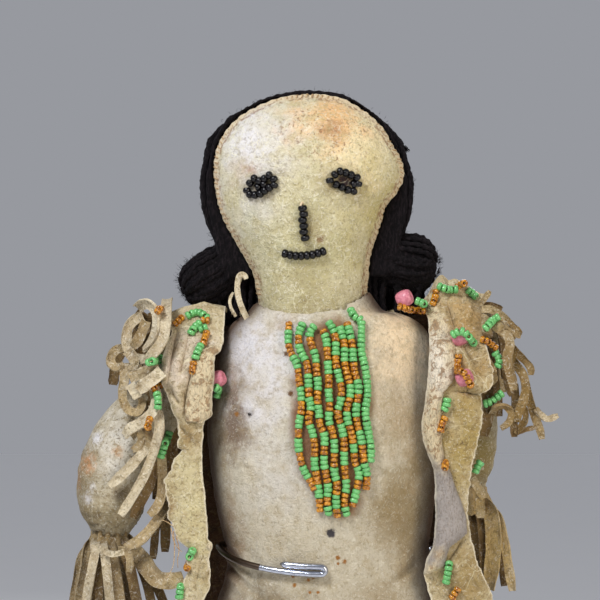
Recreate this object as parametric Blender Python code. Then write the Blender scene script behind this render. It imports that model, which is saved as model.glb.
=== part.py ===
"""Beaded hide doll in an open fringed coat, held up by a steel display mount.

Metres, +Z up. The doll faces -Y, so its own right hand is on -X.
The origin is the centre of the underside of the mount's foot.
"""

import math
import random

import bmesh
import bpy
from mathutils import Vector

MM = 0.001
GAP = 0.3 * MM  # clear space kept between pieces that touch

# Display mount: round foot, upright post and a wire cradle round the waist
FOOT_RADIUS = 50 * MM
FOOT_THICKNESS = 4 * MM
FOOT_BEVEL = 0.8 * MM
POST_RADIUS = 2 * MM
POST_ABOVE_CRADLE = 3 * MM
CRADLE_WIRE_RADIUS = 0.9 * MM
CRADLE_CLEARANCE = 0.6 * MM
CRADLE_RISE = 5.8 * MM  # the wire stands this much higher behind the waist than at its front end
CRADLE_SLOPE_SPAN = math.radians(78)  # the part of its turn in which it comes down to the front
CRADLE_LEFT_REACH = math.radians(111)  # turn of the left arm, from the back towards the front
CRADLE_FOLD_LENGTH = 11.5 * MM  # the right arm's end is folded back on itself
CRADLE_HEIGHT_SHARE = 0.69  # place of the waist, down the torso

# Soft shoes
SHOE_LENGTH = 42 * MM
SHOE_WIDTH = 21 * MM
SHOE_HEIGHT = 17 * MM
SHOE_FORWARD = 9 * MM

# Stuffed body: one bag for torso and legs
LEG_LENGTH = 97 * MM
LEG_SPREAD = 15 * MM
THIGH_RADIUS = 13.3 * MM
ANKLE_RADIUS = 8.2 * MM
LEG_OVERLAP = 9 * MM  # height of leg hidden inside the torso
TORSO_HEIGHT = 104 * MM
TORSO_BREADTH = 63 * MM
TORSO_DEPTH = 39 * MM
SEAM_SHARPNESS = 1.15  # above 1, the two skins meet at an edge down each side

# Torso sections: drop, right half, left half, half depth, as shares of its height, breadth, depth
TORSO_ROWS = (
    (0.0, 0.278, 0.217, 0.333),
    (0.035, 0.380, 0.373, 0.352),
    (0.097, 0.444, 0.476, 0.400),
    (0.190, 0.478, 0.495, 0.460),
    (0.323, 0.500, 0.510, 0.500),
    (0.506, 0.471, 0.495, 0.487),
    (0.680, 0.417, 0.470, 0.440),
    (0.842, 0.480, 0.505, 0.487),
    (0.965, 0.455, 0.465, 0.440),
    (1.020, 0.390, 0.400, 0.350),
)

# Stuffed head and neck, sewn round the edge and leaning to the doll's right
HEAD_HEIGHT = 59.5 * MM
HEAD_BREADTH = 52.3 * MM
HEAD_DEPTH = 31 * MM
HEAD_LEAN = -3.5 * MM
HEAD_ROWS = (
    (0.018, 0.159, 0.163, 0.120),
    (0.084, 0.337, 0.300, 0.300),
    (0.151, 0.423, 0.382, 0.400),
    (0.230, 0.480, 0.438, 0.460),
    (0.300, 0.501, 0.484, 0.490),
    (0.380, 0.503, 0.497, 0.500),
    (0.450, 0.493, 0.465, 0.500),
    (0.516, 0.478, 0.405, 0.490),
    (0.595, 0.444, 0.379, 0.470),
    (0.684, 0.387, 0.342, 0.440),
    (0.768, 0.331, 0.315, 0.410),
    (0.842, 0.291, 0.308, 0.395),
    (0.926, 0.277, 0.304, 0.390),
    (1.000, 0.264, 0.300, 0.385),
)

# Yarn hair: a cap behind the head's seam and a gathered bunch at each side
HAIR_TOP_RIM = 1.0 * MM
HAIR_BACK = 7 * MM
HAIR_FRONT = 1.5 * MM  # how far the rim comes in front of the seam
LOCK_DEPTH = 1.2 * MM
# Cap sections: drop share of the head's height, rim beyond the head at right and left, in metres
HAIR_ROWS = (
    (0.020, 5 * MM, 4 * MM),
    (0.110, 4.2 * MM, 3.2 * MM),
    (0.230, 2.6 * MM, 2.2 * MM),
    (0.400, 3.4 * MM, 2.6 * MM),
    (0.530, 4.6 * MM, 7.2 * MM),
    (0.650, 6.0 * MM, 8.0 * MM),
    (0.750, 8.0 * MM, 8.2 * MM),
    (0.860, 7.0 * MM, 6.0 * MM),
)
BUNCH_LENGTH = 19 * MM
BUNCH_THICKNESS = 15 * MM

# Arms: points along the middle and radii, in mm. A point is how far it is out from the torso's side,
# its y, and its drop below the arm's top. The torso's side is half its breadth from the middle.
ARM_TOP_DROP = 18 * MM
RIGHT_ARM = (
    ((1.1, 3.0, 0.0), 5.6),
    ((7.0, 2.6, 1.0), 7.0),
    ((15.5, 0.5, 9.5), 8.6),
    ((23.0, -2.0, 20.5), 10.2),
    ((26.0, -3.0, 30.0), 10.2),
    ((26.8, -3.0, 38.5), 8.4),
    ((27.1, -3.0, 44.0), 4.6),
)
LEFT_ARM = (
    ((1.9, 5.0, 0.0), 5.6),
    ((5.5, 6.0, 2.0), 7.2),
    ((8.5, 8.0, 11.0), 8.8),
    ((8.9, 9.0, 20.0), 8.8),
    ((9.1, 9.0, 27.5), 7.2),
    ((9.7, 9.0, 32.5), 4.4),
)

# Gathered cuffs under the wrists, with their hanging strips
CUFF_RADIUS = 7.0 * MM
CUFF_HEIGHT = 5.5 * MM
CUFF_STRIPS = 12
RIGHT_CUFF_DROP = 36 * MM
LEFT_CUFF_DROP = 21 * MM

# Hide coat: one skin with a neck cut, folded over the shoulders
HIDE_THICKNESS = 1.2 * MM
COAT_LENGTH = 123 * MM
COAT_ABOVE_NECK = -1.2 * MM
COAT_LEFT_RISE = 2.5 * MM
COAT_NECK_HALF = TORSO_BREADTH / 2 - 9.5 * MM
COAT_FRONT_Y = -14 * MM
COAT_EDGE_CURL = 2.6 * MM
COAT_BACK_Y = 27.5 * MM
COAT_BACK_HALF = TORSO_BREADTH / 2 + 13.5 * MM
COAT_NAPE_BULGE = 9 * MM  # the neck pushes the skin back at the nape
# Front strips: drop share of the coat's length, inner and outer edge out from the torso's side, in mm
RIGHT_FRONT = (
    (0.00, -4.6, 11.0),
    (0.07, -4.0, 13.5),
    (0.18, -1.5, 10.5),
    (0.29, 0.8, 7.5),
    (0.37, 0.7, 11.0),
    (0.44, -0.2, 10.1),
    (0.53, -1.3, 6.7),
    (0.62, 0.5, 7.5),
    (0.80, -0.5, 9.5),
    (1.00, -0.5, 11.5),
)
LEFT_FRONT = (
    (0.00, -3.3, 10.9),
    (0.07, -2.0, 11.5),
    (0.18, -2.5, 11.9),
    (0.29, -3.5, 10.9),
    (0.37, -0.8, 9.1),
    (0.46, -0.5, 7.6),
    (0.55, -3.1, 10.0),
    (0.62, -3.5, 12.8),
    (0.80, -3.0, 14.0),
    (1.00, -2.5, 15.5),
)
COAT_COLUMNS = 4
FRONT_DROPS = (0.0, 0.07, 0.18, 0.29, 0.37, 0.44, 0.53, 0.62, 0.80, 1.0)
# Back: drop share, then shares of how far it stands behind the middle and of its half width
COAT_BACK = (
    (0.015, 0.36, 0.95),
    (0.06, 0.66, 1.0),
    (0.15, 0.80, 1.0),
    (0.28, 0.87, 0.98),
    (0.37, 0.91, 0.93),
    (0.46, 0.94, 0.86),
    (0.70, 1.0, 0.86),
    (1.0, 1.0, 0.91),
)

# Shoulder fringe
STRIP_WIDTH = 2.0 * MM
STRIP_THICKNESS = 1.3 * MM
WELT_RADIUS = 15 * MM
WELT_THICKNESS = 1.6 * MM
WELT_SPAN = math.radians(128)
WELT_MIDDLE_Y = 1.5 * MM
SHOULDER_STRIPS = 11
STRIP_SPACING = 1.35  # pitch of hanging strips, in strip widths
STRIPS_SIDE_BY_SIDE = 3  # nearer the crown they fall one behind the other
STRIP_FIRST_REACH = 2.2 * MM
STRIP_LEAN = 4.5 * MM
STRIP_SLANT = 0.13
# Length that hangs, in mm, from the lowest strip at each end of the welt up to the crown
RIGHT_STRIP_DROPS = (34, 36, 30, 21, 20, 21)
LEFT_STRIP_DROPS = (30, 28, 33, 30, 22, 20)

# Strap from the right cuff to the coat: out from the torso's side, y and drop below the neck, in mm
TIE_WIDTH = 4.6 * MM
TIE_POINTS = ((18.1, 6.0, 67.6), (15.0, 2.0, 74.1), (11.5, -5.0, 76.4), (8.3, -9.0, 75.4))

# Cut end of thong that stands up at the coat's neck, inside the torso's right side
THONG_INSIDE = 7.9 * MM
THONG_RADIUS = 0.8 * MM

# Seed beads and round beads
BLACK_BEAD_RADIUS = 0.75 * MM
BEAD_RADIUS = 0.95 * MM
BEAD_PITCH = 1.35 * MM
PINK_BEAD_RADIUS = 2.6 * MM
CHEST_STRANDS = 8
CHEST_PITCH_TOP = 2.75 * MM
CHEST_PITCH_BOTTOM = 2.32 * MM
CHEST_TOP_DROP = 4.5 * MM
CHEST_BOTTOM_DROPS = (49.5, 53.5, 55.0, 56.0, 56.0, 54.5, 49.0, 43.5)  # in mm, from the doll's right

# Face beads, in mm: x, and drop below the top of the head
# Each ring of eye beads: its middle, half length, half height and tilt in degrees
EYES = (("eye_beads_right", -16.9, 25.4, 3.7, 2.1, 17), ("eye_beads_left", 5.9, 24.5, 3.8, 2.1, -15))
NOSE_X = -5.3
NOSE_TOP_DROP = 31.4
MOUTH_MIDDLE_X = -5.3
MOUTH_DROP = 44.9
MOUTH_RIGHT_X = -10.4
MOUTH_BEND = 0.035  # how much its ends turn up

SOLE_Z = FOOT_THICKNESS + GAP
LEG_BOTTOM_Z = SOLE_Z + SHOE_HEIGHT + GAP
CROTCH_Z = LEG_BOTTOM_Z + LEG_LENGTH
NECK_Z = CROTCH_Z + TORSO_HEIGHT
HEAD_BASE_Z = NECK_Z + GAP
HEAD_TOP_Z = HEAD_BASE_Z + HEAD_HEIGHT
WAIST_Z = NECK_Z - CRADLE_HEIGHT_SHARE * TORSO_HEIGHT
RIDGE_Z = NECK_Z + COAT_ABOVE_NECK
TORSO_SIDE = TORSO_BREADTH / 2
TORSO_FACETS = 24

HIDE = ("doll_hide", (0.72, 0.62, 0.44), 0.85, 0.0)
COAT_HIDE = ("coat_hide", (0.66, 0.54, 0.36), 0.9, 0.0)
YARN = ("black_yarn", (0.012, 0.010, 0.012), 0.95, 0.0)
BLACK = ("black_beads", (0.01, 0.01, 0.015), 0.15, 0.0)
GREEN = ("green_beads", (0.12, 0.55, 0.22), 0.3, 0.0)
AMBER = ("amber_beads", (0.62, 0.25, 0.03), 0.15, 0.0)
PINK = ("pink_beads", (0.78, 0.30, 0.38), 0.45, 0.0)
STEEL = ("mount_steel", (0.75, 0.75, 0.77), 0.15, 1.0)


def material(finish):
    name, colour, roughness, metallic = finish
    made = bpy.data.materials.get(name)
    if made is None:
        made = bpy.data.materials.new(name)
        made.use_nodes = True
        shader = made.node_tree.nodes["Principled BSDF"]
        shader.inputs["Base Color"].default_value = (*colour, 1)
        shader.inputs["Roughness"].default_value = roughness
        shader.inputs["Metallic"].default_value = metallic
    return made


def solid(name, points, faces, finish, guide=False):
    """A mesh object; a guide only cuts or joins another piece and isn't part of the doll."""
    mesh = bpy.data.meshes.new(name)
    mesh.from_pydata([tuple(p) for p in points], [], faces)
    shape = bmesh.new()
    shape.from_mesh(mesh)
    bmesh.ops.recalc_face_normals(shape, faces=shape.faces[:])
    shape.to_mesh(mesh)
    shape.free()
    mesh.materials.append(material(finish))
    mesh.shade_smooth()
    mesh.set_sharp_from_angle(angle=math.radians(50))
    made = bpy.data.objects.new(name, mesh)
    bpy.context.scene.collection.objects.link(made)
    if guide:
        made.hide_render = True
        made.display_type = "WIRE"
    return made


def loft(rings):
    """Points and faces of a closed body through rings of points; a ring of one point is a tip."""
    points = [p for ring in rings for p in ring]
    faces = []
    start = 0
    for low, high in zip(rings, rings[1:]):
        a, b = start, start + len(low)
        n = max(len(low), len(high))
        for k in range(n):
            j = (k + 1) % n
            if len(low) == 1:
                faces.append((a, b + j, b + k))
            elif len(high) == 1:
                faces.append((a + k, a + j, b))
            else:
                faces.append((a + k, a + j, b + j, b + k))
        start = b
    if len(rings[0]) > 1:
        faces.insert(0, tuple(reversed(range(len(rings[0])))))
    if len(rings[-1]) > 1:
        faces.append(tuple(range(start, start + len(rings[-1]))))
    return points, faces


def between(rows, share):
    """The row at a share, in straight steps between the given rows."""
    if share <= rows[0][0]:
        return rows[0][1:]
    for low, high in zip(rows, rows[1:]):
        if share <= high[0]:
            t = (share - low[0]) / (high[0] - low[0])
            return tuple(a + (b - a) * t for a, b in zip(low[1:], high[1:]))
    return rows[-1][1:]


def bend(points, t):
    """A point of the smooth curve through the given points, t from 0 to 1."""
    place = t * (len(points) - 1)
    k = min(int(place), len(points) - 2)
    t = place - k
    b, c = Vector(points[k]), Vector(points[k + 1])
    a = Vector(points[k - 1]) if k else 2 * b - c
    d = Vector(points[k + 2]) if k + 2 < len(points) else 2 * c - b
    return 0.5 * (2 * b + (c - a) * t + (2 * a - 5 * b + 4 * c - d) * t * t + (3 * b - a - 3 * c + d) * t**3)


def pillow_ring(middle, right, left, depth, z, sides, grow=0.0):
    """Section of a bag sewn from two skins, which meet at an edge at each side."""
    centre = middle + (left - right) / 2
    half = (left + right) / 2 + grow
    ring = []
    for k in range(sides):
        angle = math.tau * k / sides
        s = math.sin(angle)
        y = math.copysign(abs(s) ** SEAM_SHARPNESS, s) * (depth + grow)
        ring.append(Vector((centre + half * math.cos(angle), y, z)))
    return ring


def torso_section(z):
    right, left, depth = between(TORSO_ROWS, (NECK_Z - z) / TORSO_HEIGHT)
    return right * TORSO_BREADTH, left * TORSO_BREADTH, depth * TORSO_DEPTH


def head_section(z):
    right, left, depth = between(HEAD_ROWS, (HEAD_TOP_Z - z) / HEAD_HEIGHT)
    return right * HEAD_BREADTH, left * HEAD_BREADTH, depth * HEAD_DEPTH


def front_of(section, middle, x, z):
    """Y of the front skin at x and z."""
    right, left, depth = section(z)
    centre = middle + (left - right) / 2
    share = min(abs(x - centre) / ((left + right) / 2), 0.999)
    return -depth * (1 - share**2) ** (SEAM_SHARPNESS / 2)


def frames(path):
    """Travel, side and up direction at each point of a path, carried along without twist."""
    made = []
    side = None
    for k, p in enumerate(path):
        travel = (path[min(k + 1, len(path) - 1)] - path[max(k - 1, 0)]).normalized()
        if side is None:
            side = travel.cross(Vector((0.1, 0.2, 1))).normalized()
            if abs(travel.z) > 0.9:
                side = travel.cross(Vector((0, 1, 0))).normalized()
        side = (side - travel * side.dot(travel)).normalized()
        made.append((travel, side, travel.cross(side)))
    return made


def tube_rings(path, radii, sides):
    rings = []
    for p, radius, (_, side, up) in zip(path, radii, frames(path)):
        turn = [math.tau * k / sides for k in range(sides)]
        rings.append([p + (side * math.cos(a) + up * math.sin(a)) * radius for a in turn])
    return rings


def join(body, *parts):
    for part in parts:
        union = body.modifiers.new("join_" + part.name, "BOOLEAN")
        union.operation = "UNION"
        union.object = part
    return body


def make_mount():
    profile = (
        (FOOT_RADIUS, 0),
        (FOOT_RADIUS, FOOT_THICKNESS - FOOT_BEVEL),
        (FOOT_RADIUS - FOOT_BEVEL, FOOT_THICKNESS),
    )
    rings = []
    for radius, z in profile:
        turn = [math.tau * k / 40 for k in range(40)]
        rings.append([Vector((radius * math.cos(a), radius * math.sin(a), z)) for a in turn])
    solid("mount_foot", *loft(rings), STEEL)

    low, high = torso_section(WAIST_Z), torso_section(WAIST_Z + CRADLE_RISE)
    right, left, depth = (max(pair) for pair in zip(low, high))
    away = CRADLE_CLEARANCE + CRADLE_WIRE_RADIUS
    centre, half = (left - right) / 2, (left + right) / 2 + away

    left_end, right_end, steps = -CRADLE_LEFT_REACH, math.radians(178), 25

    def round_waist(angle, lift=0.0):
        """Angle 0 is the back, positive towards the doll's right."""
        slope = min(1, max(0, right_end - angle) / CRADLE_SLOPE_SPAN)
        rise = CRADLE_RISE * slope**1.6
        return Vector((centre - half * math.sin(angle), (depth + away) * math.cos(angle), WAIST_Z + rise + lift))

    path = []
    for k in range(steps + 1):
        path.append(round_waist(left_end + (right_end - left_end) * k / steps))
    fold = 2 * CRADLE_WIRE_RADIUS + GAP
    tip = path[-1]
    for a in (0.25, 0.5, 0.75):
        path.append(tip + Vector((math.sin(a * math.pi), 0, 1 - math.cos(a * math.pi))) * fold / 2)
    for k in range(4):
        angle = right_end - (CRADLE_FOLD_LENGTH * k / 3) / half
        path.append(round_waist(angle, fold))
    solid("mount_cradle", *loft(tube_rings(path, [CRADLE_WIRE_RADIUS] * len(path), 6)), STEEL)

    post_y = depth + away + CRADLE_WIRE_RADIUS + GAP + POST_RADIUS
    base, top = FOOT_THICKNESS + GAP, WAIST_Z + CRADLE_RISE + POST_ABOVE_CRADLE
    path = [Vector((centre, post_y, z)) for z in (base, (base + top) / 2, top)]
    solid("mount_post", *loft(tube_rings(path, [POST_RADIUS] * 3, 10)), STEEL)


def make_shoe(side):
    """Soft shoe with a rounded toe; side is -1 at the doll's right."""
    rings = []
    for z_share, length_share, width_share in (
        (0.0, 0.86, 0.80),
        (0.12, 1.0, 1.0),
        (0.45, 0.97, 0.98),
        (0.75, 0.70, 0.88),
        (1.0, 0.50, 0.80),
    ):
        half = SHOE_LENGTH * length_share / 2
        heel = SHOE_LENGTH / 2 - SHOE_FORWARD
        centre_y = heel - half - (1 - z_share) * 0.5 * MM
        ring = []
        for k in range(14):
            a = math.tau * k / 14
            x = side * LEG_SPREAD + math.cos(a) * SHOE_WIDTH * width_share / 2
            ring.append(Vector((x, centre_y + math.sin(a) * half, SOLE_Z + z_share * SHOE_HEIGHT)))
        rings.append(ring)
    solid("moccasin_right" if side < 0 else "moccasin_left", *loft(rings), HIDE)


def make_body():
    rings = []
    for drop, *_ in TORSO_ROWS:
        z = NECK_Z - drop * TORSO_HEIGHT
        rings.append(pillow_ring(0, *torso_section(z), z, TORSO_FACETS))
    body = solid("body", *loft(rings), HIDE)
    legs = []
    for side in (-1, 1):
        path = []
        radii = []
        for k in range(7):
            t = k / 6
            path.append(Vector((side * LEG_SPREAD, 0, CROTCH_Z + LEG_OVERLAP - (LEG_LENGTH + LEG_OVERLAP) * t)))
            radii.append(THIGH_RADIUS + (ANKLE_RADIUS - THIGH_RADIUS) * t**1.4)
        legs.append(solid(f"leg_guide_{side}", *loft(tube_rings(path, radii, 14)), HIDE, guide=True))
    join(body, *legs)


def head_rings(grow=0.0):
    rings = [[Vector((HEAD_LEAN, 0, HEAD_TOP_Z + grow))]]
    for drop, *_ in HEAD_ROWS:
        z = HEAD_TOP_Z - drop * HEAD_HEIGHT
        lift = grow * (1 - 2 * drop)
        rings.append(pillow_ring(HEAD_LEAN, *head_section(z), z + lift, 20, grow))
    return rings


def make_head():
    solid("head", *loft(head_rings()), HIDE)


def make_hair():
    """The cap's back is ridged into locks; the head's own place is cut out of it."""
    sides = 28
    rings = [[Vector((HEAD_LEAN, HAIR_BACK * 0.4, HEAD_TOP_Z + HAIR_TOP_RIM))]]
    for drop, rim_right, rim_left in HAIR_ROWS:
        z = HEAD_TOP_Z - drop * HEAD_HEIGHT
        right, left, depth = head_section(z)
        centre = HEAD_LEAN + (left + rim_left - right - rim_right) / 2
        half = (left + rim_left + right + rim_right) / 2
        back = depth + HAIR_BACK * min(1, drop * 6 + 0.25)
        ring = []
        for k in range(sides):
            a = math.tau * k / sides
            lock = LOCK_DEPTH * (0.5 if k % 2 else -0.5)
            x = centre + (half + lock) * math.cos(a)
            y = max((back + lock) * math.sin(a), -HAIR_FRONT - 0.4 * MM * abs(math.sin(a)))
            ring.append(Vector((x, y, z)))
        rings.append(ring)
    hair = solid("hair", *loft(rings), YARN)
    for side, x, drop, tilt in ((-1, -30.0, 0.845, 0.55), (1, 22.6, 0.80, -0.35)):
        middle = Vector((x * MM, 6.0 * MM, HEAD_TOP_Z - drop * HEAD_HEIGHT))
        along = Vector((side * math.cos(tilt), 0.0, -abs(math.sin(tilt)))).normalized()
        path = [middle + along * BUNCH_LENGTH * (t - 0.5) for t in (0.0, 0.12, 0.4, 0.7, 0.92, 1.0)]
        radii = [BUNCH_THICKNESS / 2 * r for r in (0.55, 0.8, 0.98, 1.0, 0.82, 0.5)]
        bunch = []
        for ring, p in zip(tube_rings(path, radii, 14), path):
            bunch.append([p + (q - p) * (1.06 if k % 2 else 0.94) for k, q in enumerate(ring)])
        join(hair, solid(f"bunch_guide_{side}", *loft(bunch), YARN, guide=True))
    head_room = solid("head_room", *loft(head_rings(GAP)), YARN, guide=True)
    cut = hair.modifiers.new("head_room", "BOOLEAN")
    cut.operation = "DIFFERENCE"
    cut.object = head_room


def arm_path(side, points):
    """Middle line and radii of an arm; side is -1 at the doll's right."""
    top = NECK_Z - ARM_TOP_DROP
    path = [Vector((side * (TORSO_SIDE + out * MM), y * MM, top - drop * MM)) for (out, y, drop), _ in points]
    return path, [radius * MM for _, radius in points]


def make_arm(name, side, points):
    path, radii = arm_path(side, points)
    smooth = [bend(path, k / 9) for k in range(10)]
    spread = [(r, 0, 0) for r in radii]
    swell = [bend(spread, k / 9).x for k in range(10)]
    rings = tube_rings(smooth, swell, 12)
    for p in rings[-1]:
        p.z = path[-1].z
    solid(name, *loft(rings), HIDE)


def grow_strip(points, faces, root, path, across, width, thickness):
    """A strip of hide that grows out of a four-cornered root and ends square."""
    last = root
    root_up = points[root[0]] - points[root[3]]
    facing = 0
    for k, (travel, _, _) in enumerate(frames(path)):
        across = (across - travel * across.dot(travel)).normalized()
        facing = facing or math.copysign(1, travel.cross(across).dot(root_up))
        up = travel.cross(across) * facing
        w, t = across * width / 2, up * thickness / 2
        start = len(points)
        points += [path[k] - w + t, path[k] + w + t, path[k] + w - t, path[k] - w - t]
        now = tuple(range(start, start + 4))
        for i in range(4):
            j = (i + 1) % 4
            faces.append((last[i], last[j], now[j], now[i]))
        last = now
    faces.append(last)


def make_cuff(name, side, arm, drop, flare, seed):
    """Gathered drum under the wrist; each part of its lower rim runs on as a hanging strip."""
    dice = random.Random(seed)
    path, _ = arm_path(side, arm)
    wrist = path[-1]
    top = wrist.z - GAP
    rings = []
    for radius_share, z in ((0.75, top), (1.0, top - CUFF_HEIGHT * 0.4), (0.95, top - CUFF_HEIGHT)):
        ring = []
        for k in range(CUFF_STRIPS):
            a = math.tau * k / CUFF_STRIPS
            r = CUFF_RADIUS * radius_share
            ring.append(Vector((wrist.x + r * math.cos(a), wrist.y + r * math.sin(a), z)))
        rings.append(ring)
    inner = [p.lerp(Vector((wrist.x, wrist.y, p.z)), 0.35) for p in rings[-1]]
    points, faces = loft([*rings, inner])
    first = 2 * CUFF_STRIPS
    roots = [f for f in faces if len(f) == 4 and min(f) >= first]
    faces = [f for f in faces if f not in roots]
    for k, root in enumerate(roots):
        a = math.tau * (k + 0.5) / CUFF_STRIPS
        out = Vector((math.cos(a), math.sin(a), 0))
        start = sum((points[i] for i in root), Vector()) / 4
        length = drop * dice.uniform(0.86, 1.0)
        spread = out * dice.uniform(1.0, 3.0) * MM + flare
        strip = []
        for t in (0.2, 0.55, 1.0):
            strip.append(start + spread * t**1.2 - Vector((0, 0, length * t)))
        across = Vector((-math.sin(a), math.cos(a), 0))
        a_first = (points[root[1]] - points[root[0]]).normalized()
        across = across if across.dot(a_first) > 0 else -across
        grow_strip(points, faces, root, strip, across, STRIP_WIDTH * 1.25, STRIP_THICKNESS)
    solid(name, points, faces, COAT_HIDE)


def coat_front(rows, side, share, drop):
    """Point of a front strip: share 0 is the inner edge, 1 the outer; drop is 0 at the shoulder."""
    inner, outer = between(rows, drop)
    x = side * (TORSO_SIDE + (inner + (outer - inner) * share) * MM)
    ridge = RIDGE_Z + (COAT_LEFT_RISE if side > 0 else 0)
    settle = min(1, drop / 0.13)
    y = COAT_FRONT_Y * math.sin(settle * math.pi / 2)
    y -= COAT_EDGE_CURL * settle * (1 - share) ** 2
    y += 1.2 * MM * settle * math.cos(share * math.tau * 1.5)
    return Vector((x, y, ridge - drop * COAT_LENGTH + (0.8 * MM * (1 - share) if drop == 0 else 0)))


def coat_back(x, drop):
    share, _ = between(COAT_BACK, drop)
    y = COAT_BACK_Y * share - 3 * MM * (x / COAT_BACK_HALF) ** 2
    nape = max(0, 1 - (x / COAT_NECK_HALF) ** 2) * max(0, 1 - drop / 0.2)
    y += COAT_NAPE_BULGE * nape
    lean = COAT_LEFT_RISE * max(0, x / COAT_BACK_HALF) * max(0, 1 - drop * 4)
    return Vector((x, y, RIDGE_Z + lean - drop * COAT_LENGTH))


def make_coat():
    """A sheet of hide: two front strips go over the shoulders into one back panel."""
    across = COAT_COLUMNS
    front_drops = tuple(reversed(FRONT_DROPS))
    back_drops = [drop for drop, _, _ in COAT_BACK]
    neck = 5
    points, faces = [], []
    index = {}

    def put(key, p):
        index[key] = len(points)
        points.append(p)

    for side, rows in ((-1, RIGHT_FRONT), (1, LEFT_FRONT)):
        for i in range(across + 1):
            for j, drop in enumerate(front_drops):
                put((side, i, j), coat_front(rows, side, i / across, drop))
            for j, drop in enumerate(back_drops):
                _, breadth = between(COAT_BACK, drop)
                spread = COAT_NECK_HALF + (COAT_BACK_HALF * breadth - COAT_NECK_HALF) * i / across
                start = coat_front(rows, side, i / across, 0)
                blend = min(1, drop / 0.06)
                p = coat_back(side * spread, drop)
                p.x = start.x + (p.x - start.x) * blend
                put((side, i, len(front_drops) + j), p)
        last = len(front_drops) + len(back_drops)
        for i in range(across):
            for j in range(last - 1):
                corners = [(side, i, j), (side, i + 1, j), (side, i + 1, j + 1), (side, i, j + 1)]
                face = tuple(index[c] for c in corners)
                faces.append(face if side > 0 else tuple(reversed(face)))
    rows_down = range(len(back_drops))
    for k in range(1, neck):
        for j in rows_down:
            x = -COAT_NECK_HALF + 2 * COAT_NECK_HALF * k / neck
            put((0, k, j), coat_back(x, back_drops[j]))

    def back_key(k, j):
        if k == 0:
            return (-1, 0, len(front_drops) + j)
        if k == neck:
            return (1, 0, len(front_drops) + j)
        return (0, k, j)

    for k in range(neck):
        for j in rows_down[:-1]:
            corners = [back_key(k, j), back_key(k, j + 1), back_key(k + 1, j + 1), back_key(k + 1, j)]
            faces.append(tuple(index[c] for c in reversed(corners)))
    coat = solid("coat", points, faces, COAT_HIDE)
    skin = coat.modifiers.new("hide", "SOLIDIFY")
    skin.thickness = HIDE_THICKNESS
    skin.offset = 0
    skin.use_even_offset = True


def make_shoulder_fringe(name, side, seed):
    """A welt over the shoulder's edge; strips grow from its outer side and fall over the arm.

    The lowest strip at each end of the welt falls first; each one above it reaches further out.
    """
    dice = random.Random(seed)
    ridge = RIDGE_Z + (COAT_LEFT_RISE if side > 0 else 0)
    front_rows = RIGHT_FRONT if side < 0 else LEFT_FRONT
    outer = max(COAT_BACK_HALF, *(TORSO_SIDE + row[2] * MM for row in front_rows[:3]))
    x = side * (outer + WELT_THICKNESS / 2 + 2 * GAP)
    middle = Vector((x, WELT_MIDDLE_Y, ridge - WELT_RADIUS + WELT_THICKNESS / 2))
    points, faces = [], []
    stations = SHOULDER_STRIPS + 1
    out = Vector((side, 0, 0))
    first, span = -WELT_SPAN / 2, WELT_SPAN
    for k in range(stations):
        a = first + span * k / (stations - 1)
        radial = Vector((0, math.sin(a), math.cos(a)))
        centre = middle + radial * WELT_RADIUS
        w, t = out * WELT_THICKNESS / 2, radial * WELT_THICKNESS / 2
        points += [centre - w - t, centre + w - t, centre + w + t, centre - w + t]
    for k in range(stations - 1):
        a, b = 4 * k, 4 * (k + 1)
        faces += [(a, b, b + 1, a + 1), (a + 2, b + 2, b + 3, a + 3), (a + 3, b + 3, b, a)]
    faces += [(0, 1, 2, 3), tuple(4 * (stations - 1) + i for i in (3, 2, 1, 0))]
    drops = RIGHT_STRIP_DROPS if side < 0 else LEFT_STRIP_DROPS
    crown = (SHOULDER_STRIPS - 1) / 2
    for k in range(SHOULDER_STRIPS):
        a, b = 4 * k, 4 * (k + 1)
        root = (a + 1, b + 1, b + 2, a + 2)
        start = sum((points[i] for i in root), Vector()) / 4
        turn = first + span * (k + 0.5) / SHOULDER_STRIPS
        order = min(k, SHOULDER_STRIPS - 1 - k)
        reach = STRIP_FIRST_REACH + STRIP_WIDTH * STRIP_SPACING * min(order, STRIPS_SIDE_BY_SIDE)
        reach += dice.uniform(-0.2, 0.2) * MM
        drop = drops[order] * dice.uniform(0.85, 1) * MM
        forward = math.sin(turn) * STRIP_LEAN * min(1, abs(k - crown) / 2)
        slant = STRIP_SLANT * drop
        waypoints = [
            start,
            start + Vector((side * reach * 0.6, forward * 0.3, 0.8 * MM)),
            start + Vector((side * reach, forward * 0.8, -reach * 0.35)),
            start + Vector((side * (reach + slant * 0.5), forward, -drop * 0.6 - reach * 0.2)),
            start + Vector((side * (reach + slant), forward, -drop)),
        ]
        strip = [bend(waypoints, t) for t in (0.15, 0.34, 0.5, 0.72, 1.0)]
        across = (points[b + 1] - points[a + 1]).normalized()
        grow_strip(points, faces, root, strip, across, STRIP_WIDTH, STRIP_THICKNESS)
    solid(name, points, faces, COAT_HIDE)


def make_side_tie(name):
    """A strap of hide that sags from the cuff's side to the coat's front strip."""
    waypoints = [Vector((-TORSO_SIDE - out * MM, y * MM, NECK_Z - drop * MM)) for out, y, drop in TIE_POINTS]
    path = [bend(waypoints, k / 6) for k in range(7)]
    points, faces = [], []
    for p, (travel, _, _) in zip(path, frames(path)):
        across = Vector((0, 0, 1))
        across = (across - travel * across.dot(travel)).normalized()
        up = travel.cross(across)
        w, t = across * TIE_WIDTH / 2, up * HIDE_THICKNESS / 2
        points += [p - w + t, p + w + t, p + w - t, p - w - t]
    for k in range(len(path) - 1):
        for i in range(4):
            j = (i + 1) % 4
            faces.append((4 * k + i, 4 * k + j, 4 * k + 4 + j, 4 * k + 4 + i))
    faces += [(3, 2, 1, 0), tuple(len(points) - 4 + i for i in range(4))]
    solid(name, points, faces, COAT_HIDE)


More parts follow.
